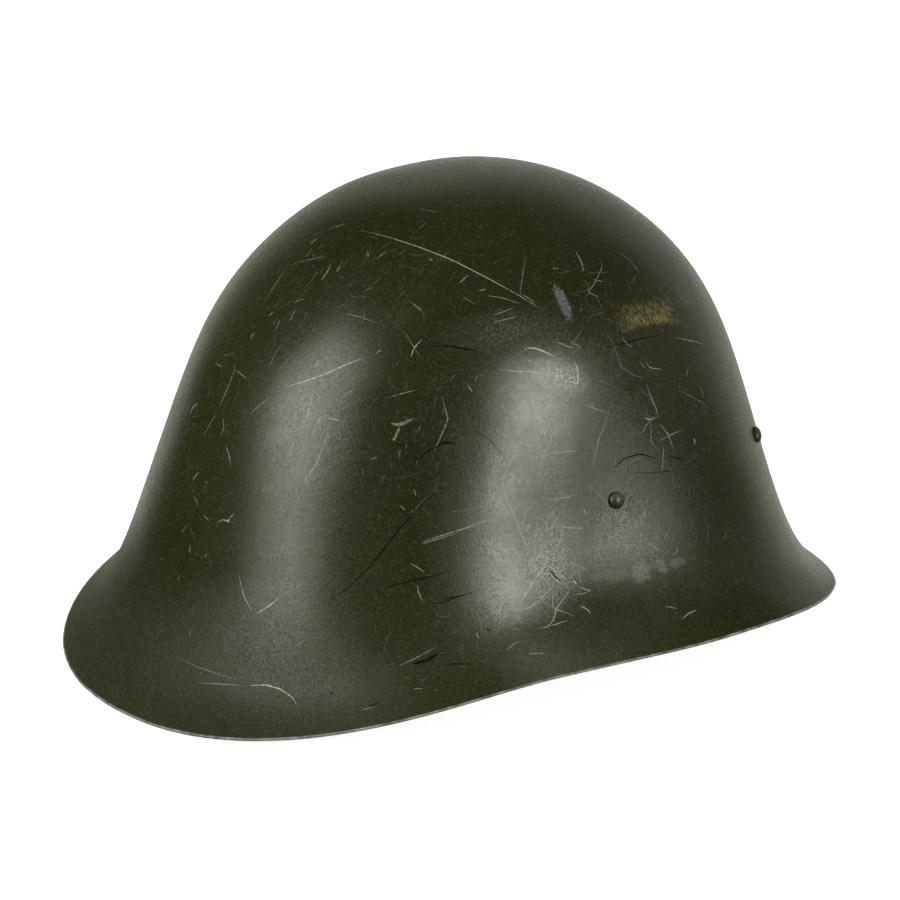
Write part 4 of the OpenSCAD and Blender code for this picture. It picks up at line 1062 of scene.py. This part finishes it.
def make_tongue(k):
    """A crown tongue: a quarter ellipse from the sweatband to the lace, as wide as its eighth of the oval
    less a growing gap, then a hem that turns over the lace and back under the leather. Slow waves cup it a
    little."""
    c = 2*np.pi/TONGUE_COUNT*(k + 0.5)
    u = edged(-1, 1, 0.05, 11)
    v = np.concatenate([[0, 0.004, 0.012, 0.025], np.linspace(0.05, 0.9, 22)])
    U, V = np.meshgrid(u, v)
    mid_r = TONGUE_TIP_R + (oval_radius(c, LEATHER_T/2) - TONGUE_TIP_R)*np.cos(np.pi/2*V)
    A = c + U*(np.pi/TONGUE_COUNT - (0.5 + 2.6*V*V)/mid_r)
    r = TONGUE_TIP_R + (oval_radius(A, LEATHER_T/2) - TONGUE_TIP_R)*np.cos(np.pi/2*V)
    r = r - (0.5*np.sin(5*V + 1.7*k) + 0.35*np.sin(3*U + 2.3*k))*np.sin(np.pi*V)*np.abs(U)
    dome = np.stack([r*np.sin(A), -r*np.cos(A), TONGUE_LOW + TONGUE_RISE*np.sin(np.pi/2*V)], -1)
    hem_z = TONGUE_LOW + TONGUE_RISE
    hem = np.concatenate([[[19.6, hem_z + 1.6]], arc(HEM_R, hem_z, 2.35, 75, 282, 16),
                          [[18.6, hem_z - 1.9], [22.6, hem_z - 1.75]]])
    wide = np.linspace(4.0, 3.5, len(hem))
    out, across = np.array([np.sin(c), -np.cos(c)]), np.array([np.cos(c), np.sin(c)])
    flat = hem[:, :1, None]*out + (wide[:, None]*u[None])[..., None]*across
    mid = np.concatenate([dome, np.concatenate([flat, np.broadcast_to(hem[:, 1][:, None, None],
                                                                      flat.shape[:2] + (1,))], -1)])
    fold = slice(len(v) - 3, len(v) + 2)
    for _ in range(3):
        even = np.apply_along_axis(lambda w: np.convolve(w, [0.25, 0.5, 0.25], "same"), 0, mid)
        mid[fold] = even[fold]
    mid = mid + np.array([0, HEAD_Y, 0])
    rows = np.concatenate([[0], np.cumsum(np.linalg.norm(np.diff(mid[:, len(u)//2], axis=0), axis=1))])
    width = np.linalg.norm(mid[:, -1] - mid[:, 0], axis=1)
    edge = np.minimum(np.minimum(rows, rows[-1] - rows)[:, None], (1 - np.abs(u))[None]*width[:, None]/2)
    form = leaf(mid*MM, grid_normals(mid), rounded(edge, 0.9, TONGUE_T/2)*MM)
    closed_piece(f"leather_tongue_{k + 1}", form, TAN, node=f"tongue_{k + 1}")


def make_lace():
    """The crown lace: a three-strand cord drawn in a ring through the hems, a knot of two tight turns as a
    helix, and two ends that lie back over the tongues along a power curve and a sine."""
    z = TONGUE_LOW + TONGUE_RISE
    front_y, knot_y = HEAD_Y - LACE_RING_R, HEAD_Y - LACE_RING_R + 6.2
    t, w, s = np.linspace(0.0, 2*np.pi, 200), np.linspace(0, 4.4*np.pi, 60), np.linspace(0, 1, 24)
    y = np.linspace(front_y, knot_y, 12)
    ring = np.stack([LACE_RING_R*np.sin(t), HEAD_Y - LACE_RING_R*np.cos(t), z + 0*t], -1)*MM
    knot = np.stack([1.5*np.cos(w), knot_y - 1.1 + 2.2*w/w[-1], z + 1.5*np.sin(w)], -1)*MM
    cords = [(ring, (0, 0, 1)), (np.stack([0*y, y, z + 0*y], -1)*MM, (1, 0, 0))]
    cords += [(np.stack([side*7.6*s**1.15, knot_y + 12.0*s, z + 3.4*np.sin(1.9*s)], -1)*MM, (0, 0, 1))
              for side in (-1, 1)]
    parts = [tube(path, LACE_R*MM, ref, 14, LACE_TWIST, 3) for path, ref in cords]
    parts.insert(2, tube(knot, 0.95*MM, (0, 1, 0.01), 12, LACE_TWIST, 3))
    closed_piece("twisted_lace", joined(parts), LACE, node="crown_lace")


def make_pad(name, start, end):
    """A felt pad between the hoop and the wall: a block cut to both, its corners rounded and its faces a
    little crowned between its edges. Its inner face is where a ray from the dome's axis meets the hoop's
    oval, the larger root of a quadratic."""
    az, zs = np.radians(edged(start, end, 1.2, 16)), edged(51.6, 65, 2.2, 7)
    A, Z = np.meshgrid(az, zs)
    outer = wall_radius(A.ravel(), Z.ravel(), SHEET).reshape(A.shape) - 0.3
    out = np.stack([np.sin(A), -np.cos(A), 0*A], -1)
    a2, b2 = (HEAD_W/2 + PAD_FROM)**2, (HEAD_L/2 + PAD_FROM)**2
    y0 = DOME_Y - HEAD_Y
    qa = out[..., 0]**2/a2 + out[..., 1]**2/b2
    qb = y0*out[..., 1]/b2
    inner = (-qb + np.sqrt(qb**2 - qa*(y0**2/b2 - 1)))/qa
    mid, half = (outer + inner)/2, (outer - inner)/2
    rim_z = np.minimum(Z - zs[0], zs[-1] - Z)
    rim_a = np.minimum(A - az[0], az[-1] - A)*mid
    crown = np.minimum(1 - 0.05*np.cos(np.pi*np.clip(rim_z/6.7, 0, 1)), 1)
    half = half*rounded(rim_z, 2.6, 1)*rounded(rim_a, 3.0, 1)*crown
    form = leaf(on_dome(mid, A, Z), out, half*MM)
    closed_piece("felt_" + name, form, FELT, node=name)


make_headband()
make_stitches()
for tongue_number in range(TONGUE_COUNT):
    make_tongue(tongue_number)
make_lace()
make_pad("pad_front", -22, 22)
make_pad("pad_temple_left", 48, 68)
make_pad("pad_temple_right", -68, -48)
make_pad("pad_rear", 163, 197)


# Chinstrap

EYE_X, EYE_Y = 87.15, 12.947
RING_LOW, STRAP_W, STRAP_T = 31.0, 16.0, 2.0
LOOP_R = 2.55
BEND_X, BEND_Z, BEND_R = 73.15, 18.0, 15.0
STRAP_Z = 3.0
BUCKLE_X, BUCKLE_Z = 36.15, 4.0
CURL_X, CURL_Z, CURL_R = 21.15, 10.0, 7.0
TURN_X, TURN_Z, TURN_R = 67.15, 12.5, 4.5
TIP_X, TIP_Z, TIP_L = 31.15, 8.0, 9.5
HOLE_R, HOLE_FIRST, HOLE_PITCH = 1.4, 14.0, 10.0
HOLE_COUNT = 7
# How a hole's block and a slot lie in a strap, and the grids' rows from a hole to its block's sides
HOLE_BLOCK = 4.4
SLOT_REACH, SLOT_HALF = 9.4, 1.9
HOLE_ROWS = np.array([0, 0.02, 0.07, 0.16, 0.35, 0.6, 0.8, 0.92, 0.98, 1.0])


def strap_drop():
    """The strap's centre line from its turned end, over the ring and down to the table bend."""
    return np.concatenate([[[EYE_X - 1, RING_LOW - 11.5], [EYE_X - 1, RING_LOW - 5.2]],
                           arc(EYE_X, RING_LOW, LOOP_R, 190, -10, 20), [[EYE_X + 1, RING_LOW - 5.2]],
                           [[EYE_X + 1, BEND_Z]], arc(BEND_X, BEND_Z, BEND_R, 0, -90, 20)])


def hole_block(low, high, hole, cross, w):
    """The flat grid round a hole: rings that go evenly from a circle to the block's four sides."""
    top = np.linspace(low, high, 7)[1:-1]
    loop = np.concatenate([np.stack([0*cross + low, cross], -1), np.stack([top, 0*top + w], -1),
                           np.stack([0*cross + high, cross[::-1]], -1), np.stack([top[::-1], 0*top - w], -1)])
    ray = loop - (hole, 0)
    ring = HOLE_R*ray/np.linalg.norm(ray, axis=1, keepdims=True) + (hole, 0)
    points = ring[None] + (loop - ring)[None]*HOLE_ROWS[:, None, None]
    return points.reshape(-1, 2), grid_faces(len(HOLE_ROWS), len(loop), closed_cols=True)[:, ::-1]


def strap_mesh(path, side, holes=(), slot=None, point=0.0):
    """A strap cut flat and bent along a path: a grid of places along and across it, with round holes, each
    in a block of rings from the hole to the block's sides, and a slot. The skins lie half a thickness to
    both sides of the path and close in a quarter round at every edge. A pointed end narrows as a sine."""
    d = np.gradient(path, axis=0)
    steps = np.concatenate([[0], np.cumsum(np.linalg.norm(np.diff(path, axis=0), axis=1))])
    length, w = steps[-1], STRAP_W/2

    def narrow(s):
        return w*np.sin(np.pi/2*np.clip((length - s)/point, 0, 1))**0.8 if point else w + 0*s
    cross = edged(-w, w, 1.0, 11)
    if slot:
        cross = np.concatenate([edged(-w, -slot[2], 1.0, 4), [-slot[2]/2, slot[2]/2],
                                edged(slot[2], w, 1.0, 4)])
    stops = [x for h in sorted(holes) for x in (h - HOLE_BLOCK, h + HOLE_BLOCK)]
    stops = [0.0, *stops, *(slot[:2] if slot else ()), length]
    parts = []
    for low, high in zip(stops[:-1], stops[1:]):
        hole = [h for h in holes if low < h < high]
        if hole:
            parts.append(hole_block(low, high, hole[0], cross, w))
            continue
        s = edged(low, high, 1.0, max(3, int((high - low)/1.4)))
        S, C = np.meshgrid(s, cross, indexing="ij")
        quads = grid_faces(len(s), len(cross))
        if slot and low == slot[0]:
            quads = quads[np.abs(C.ravel()[quads].mean(1)) > slot[2]]
        parts.append((np.stack([S.ravel(), (C*narrow(S)/w).ravel()], -1), quads))
    starts = np.cumsum([0] + [len(p) for p, _ in parts])
    flat = np.concatenate([p for p, _ in parts])
    quads = np.concatenate([f + n for (_, f), n in zip(parts, starts)])
    s, c = flat[:, 0], flat[:, 1]
    far = np.minimum(np.minimum(s, length - s), narrow(s) - np.abs(c))
    for h in holes:
        far = np.minimum(far, np.hypot(s - h, c) - HOLE_R)
    if slot:
        box = np.stack([np.maximum(slot[0] - s, s - slot[1]), np.abs(c) - slot[2]], -1)
        far = np.minimum(far, np.hypot(*np.maximum(box, 0).T))
    half = rounded(np.maximum(far, 0), 0.9, STRAP_T/2 - 0.03)
    x, z = np.interp(s, steps, path[:, 0]), np.interp(s, steps, path[:, 1])
    n = np.stack([np.interp(s, steps, -d[:, 1]), np.interp(s, steps, d[:, 0])], -1)
    n /= np.linalg.norm(n, axis=1, keepdims=True)
    skins = [np.stack([side*(x + t*half*n[:, 0]), EYE_Y + c, z + t*half*n[:, 1]], -1)*MM for t in (1, -1)]
    return np.concatenate(skins), np.concatenate([quads, quads[:, ::-1] + len(flat)])


def make_straps():
    """Both halves of the chinstrap along their centre lines: the left one turns round the buckle's bar and
    has a slot there for the prong, and the right one curls back over itself and has the holes and a pointed
    end."""
    left = np.concatenate([strap_drop(), [[BUCKLE_X + 6, STRAP_Z]],
                           arc(BUCKLE_X, BUCKLE_Z, LOOP_R, -80, -280, 20),
                           [[BUCKLE_X + 6, STRAP_Z + 2], [BUCKLE_X + 16, STRAP_Z + 2]]])
    left = smooth_path(left, 0.3, 4)
    along = np.concatenate([[0], np.cumsum(np.linalg.norm(np.diff(left, axis=0), axis=1))])
    at_bar = along[np.argmin(left[:, 0])]
    form = strap_mesh(left, 1, slot=(at_bar - SLOT_REACH, at_bar + SLOT_REACH, SLOT_HALF))
    closed_piece("leather_strap_left", form, BROWN, "left_strap", "strap_left")
    right = np.concatenate([strap_drop(), [[CURL_X, STRAP_Z]], arc(CURL_X, CURL_Z, CURL_R, 270, 90, 24),
                            arc(TURN_X, TURN_Z, TURN_R, 90, -90, 20), [[TIP_X, TIP_Z]]])
    right = smooth_path(right, 0.3, 4)
    length = np.linalg.norm(np.diff(right, axis=0), axis=1).sum()
    holes = [length - HOLE_FIRST - HOLE_PITCH*i for i in range(HOLE_COUNT)]
    form = strap_mesh(right, -1, holes=holes, point=TIP_L)
    closed_piece("leather_strap_right", form, BROWN, "right_strap", "strap_right")


def make_keeper():
    """The keeper: a strip with rounded edges carried round a rectangle with rounded corners, its ends
    butted."""
    x, w, t = 64.15, 7.0, 1.4
    y, low, high, r = 9.0, 1.0, 7.0, 1.5
    corners = [(y - r, high - r, 0), (r - y, high - r, 90), (r - y, low + r, 180), (y - r, low + r, 270)]
    loop = np.concatenate([arc(cx, cz, r, a, a + 90, 8) for cx, cz, a in corners])
    d = np.roll(loop, -1, 0) - np.roll(loop, 1, 0)
    n = np.stack([d[:, 1], -d[:, 0]], -1)/np.linalg.norm(d, axis=1, keepdims=True)
    u = edged(-w/2, w/2, 0.6, 7)
    half = rounded(w/2 - np.abs(u), 0.6, t/2)
    section = np.concatenate([np.stack([u, half], -1), np.stack([u, -half], -1)[-2:0:-1]])
    rings = np.stack([x + section[:, 0][:, None] + 0*loop[:, 0][None],
                      EYE_Y + loop[:, 0][None] + section[:, 1][:, None]*n[:, 0][None],
                      loop[:, 1][None] + section[:, 1][:, None]*n[:, 1][None]], -1)*MM
    faces = grid_faces(len(section), len(loop), closed_rows=True, closed_cols=True)
    form = rings.reshape(-1, 3), faces
    closed_piece("leather_keeper", form, BROWN, "keeper", "strap_keeper")


make_straps()
make_keeper()


# Camera, lights and floor

# How bright the dark room, the backdrop behind the helmet and the even light from all round are
ROOM, BACKDROP, FILL = 0.015, 0.45, 0.3
# The backdrop's warm white, and in degrees where its middle lies, its reach from there and its soft edge
WARM = (1, 1, 0.9, 1)
BACKDROP_AZ, BACKDROP_EL, BACKDROP_REACH, BACKDROP_SOFT = -135, -5, 49, 13
# The floor behind the helmet as gloss reflects it: how bright, which way its fan points, where the fan
# starts, and the angles at which it ends and is full
PAPER, PAPER_AZ, PAPER_FROM, PAPER_REACH = 0.62, -137, (0.03, -0.12, 0), (56, 42)


def make_camera():
    """The camera at the photo's angle, with a shift that puts its aim on AIM_PX."""
    data = bpy.data.cameras.new("camera")
    data.sensor_width = 36
    data.lens = FOCAL_PX/FRAME_PX*data.sensor_width
    data.shift_x = (FRAME_PX/2 - AIM_PX[0])/FRAME_PX
    data.shift_y = (AIM_PX[1] - FRAME_PX/2)/FRAME_PX
    data.clip_end = 20
    camera = bpy.data.objects.new("camera", data)
    back = from_side(CAMERA_AZ, CAMERA_EL)
    camera.location = CAMERA_AIM + back*CAMERA_DIST
    turn = back.to_track_quat("Z", "Y").to_matrix() @ Matrix.Rotation(math.radians(CAMERA_ROLL), 3, "Z")
    camera.rotation_euler = turn.to_euler()
    bpy.context.scene.collection.objects.link(camera)
    bpy.context.scene.camera = camera


def softbox(name, az, el, width, height, power, lean=0.0):
    """A rectangular lamp 1.3 m off at an azimuth and elevation, facing the helmet and leaning over
    sideways."""
    data = bpy.data.lights.new(name, "AREA")
    data.shape = "RECTANGLE"
    data.size, data.size_y = width, height
    data.energy = power
    lamp = bpy.data.objects.new(name, data)
    way = from_side(az, el)
    lamp.location = Vector((0, 0, 0.09)) + way*1.3
    turn = way.to_track_quat("Z", "Y").to_matrix() @ Matrix.Rotation(math.radians(lean), 3, "Z")
    lamp.rotation_euler = turn.to_euler()
    bpy.context.scene.collection.objects.link(lamp)
    return lamp


def make_floor():
    """A wide disc at z = 0, its edge a circle of points. The camera sees it white apart from the helmet's
    faint shadow. Light bounces off it as off a dark matt table, and gloss reflects it as pale paper in a
    fan behind the helmet, bounded by a dot product. It is clear from below, so that the liner can be looked
    at."""
    a = np.arange(64)*2*np.pi/64
    floor = mesh_piece("floor", np.stack([6*np.cos(a), 6*np.sin(a), 0*a], -1), [range(64)], smooth=False)
    s = Shade("pale floor")
    s.surface({"Base Color": (0.14, 0.14, 0.14, 1), "Roughness": 1, "Specular IOR Level": 0})
    white = s.add("ShaderNodeBsdfDiffuse", {"Color": (0.9, 0.9, 0.9, 1)})
    glow = s.add("ShaderNodeEmission", {"Strength": 0.86})
    pale = s.add("ShaderNodeAddShader", {0: white.outputs[0], 1: glow.outputs[0]})
    way = s.vector("NORMALIZE", s.vector("SUBTRACT", s.coords, PAPER_FROM))
    behind = s.vector("DOT_PRODUCT", way, from_side(PAPER_AZ, 0))
    edge = [math.cos(math.radians(reach)) for reach in PAPER_REACH]
    paper = s.add("ShaderNodeEmission", {"Color": WARM, "Strength": s.spread(behind, *edge, 0, PAPER)})
    mirrored = s.mix_shaders(s.ray("Glossy"), s.body.outputs[0], paper.outputs[0])
    seen = s.camera_sees(mirrored, pale.outputs[0])
    below = s.add("ShaderNodeNewGeometry").outputs["Backfacing"]
    clear = s.add("ShaderNodeBsdfTransparent").outputs[0]
    s.feed(s.out.inputs["Surface"], s.mix_shaders(below, seen, clear))
    floor.data.materials.append(s.material)


def make_world():
    """White to the camera. In reflections, a pale backdrop stands behind the helmet in a dark room; the light
    itself is an even grey."""
    world = bpy.data.worlds.new("studio")
    bpy.context.scene.world = world
    world.use_nodes = True
    w = Nodes(world.node_tree)

    def sky(strength, colour=(1, 1, 1, 1)):
        return w.add("ShaderNodeBackground", {"Color": colour, "Strength": strength}).outputs[0]
    way = w.add("ShaderNodeTexCoord").outputs["Generated"]
    behind = w.vector("DOT_PRODUCT", way, from_side(BACKDROP_AZ, BACKDROP_EL))
    edge = [math.cos(math.radians(BACKDROP_REACH + soft)) for soft in (BACKDROP_SOFT, -BACKDROP_SOFT)]
    backdrop = w.spread(behind, *edge, interpolation_type="SMOOTHSTEP")
    mirrored = w.mix_shaders(backdrop, sky(ROOM), sky(BACKDROP, WARM))
    plain = w.mix_shaders(w.ray("Glossy"), sky(FILL), mirrored)
    w.feed(w.tree.nodes["World Output"].inputs[0], w.camera_sees(plain, sky(1), "Transmission"))


make_camera()
make_floor()
make_world()
softbox("left strip", 6.5, 25.5, 0.69, 1.12, 12.6, lean=-25)
softbox("right strip", 107.5, 9.5, 0.14, 0.57, 6.7)
softbox("rear glow", 152, 8, 1.0, 0.7, 0.36)
# Plain light on the sides that the photo doesn't show, without a highlight of its own
softbox("back fill", 235, 10, 1.2, 0.5, 12).visible_glossy = False
softbox("side fill", 280, 10, 1.0, 0.5, 5).visible_glossy = False
bpy.context.scene.view_settings.view_transform = "Standard"
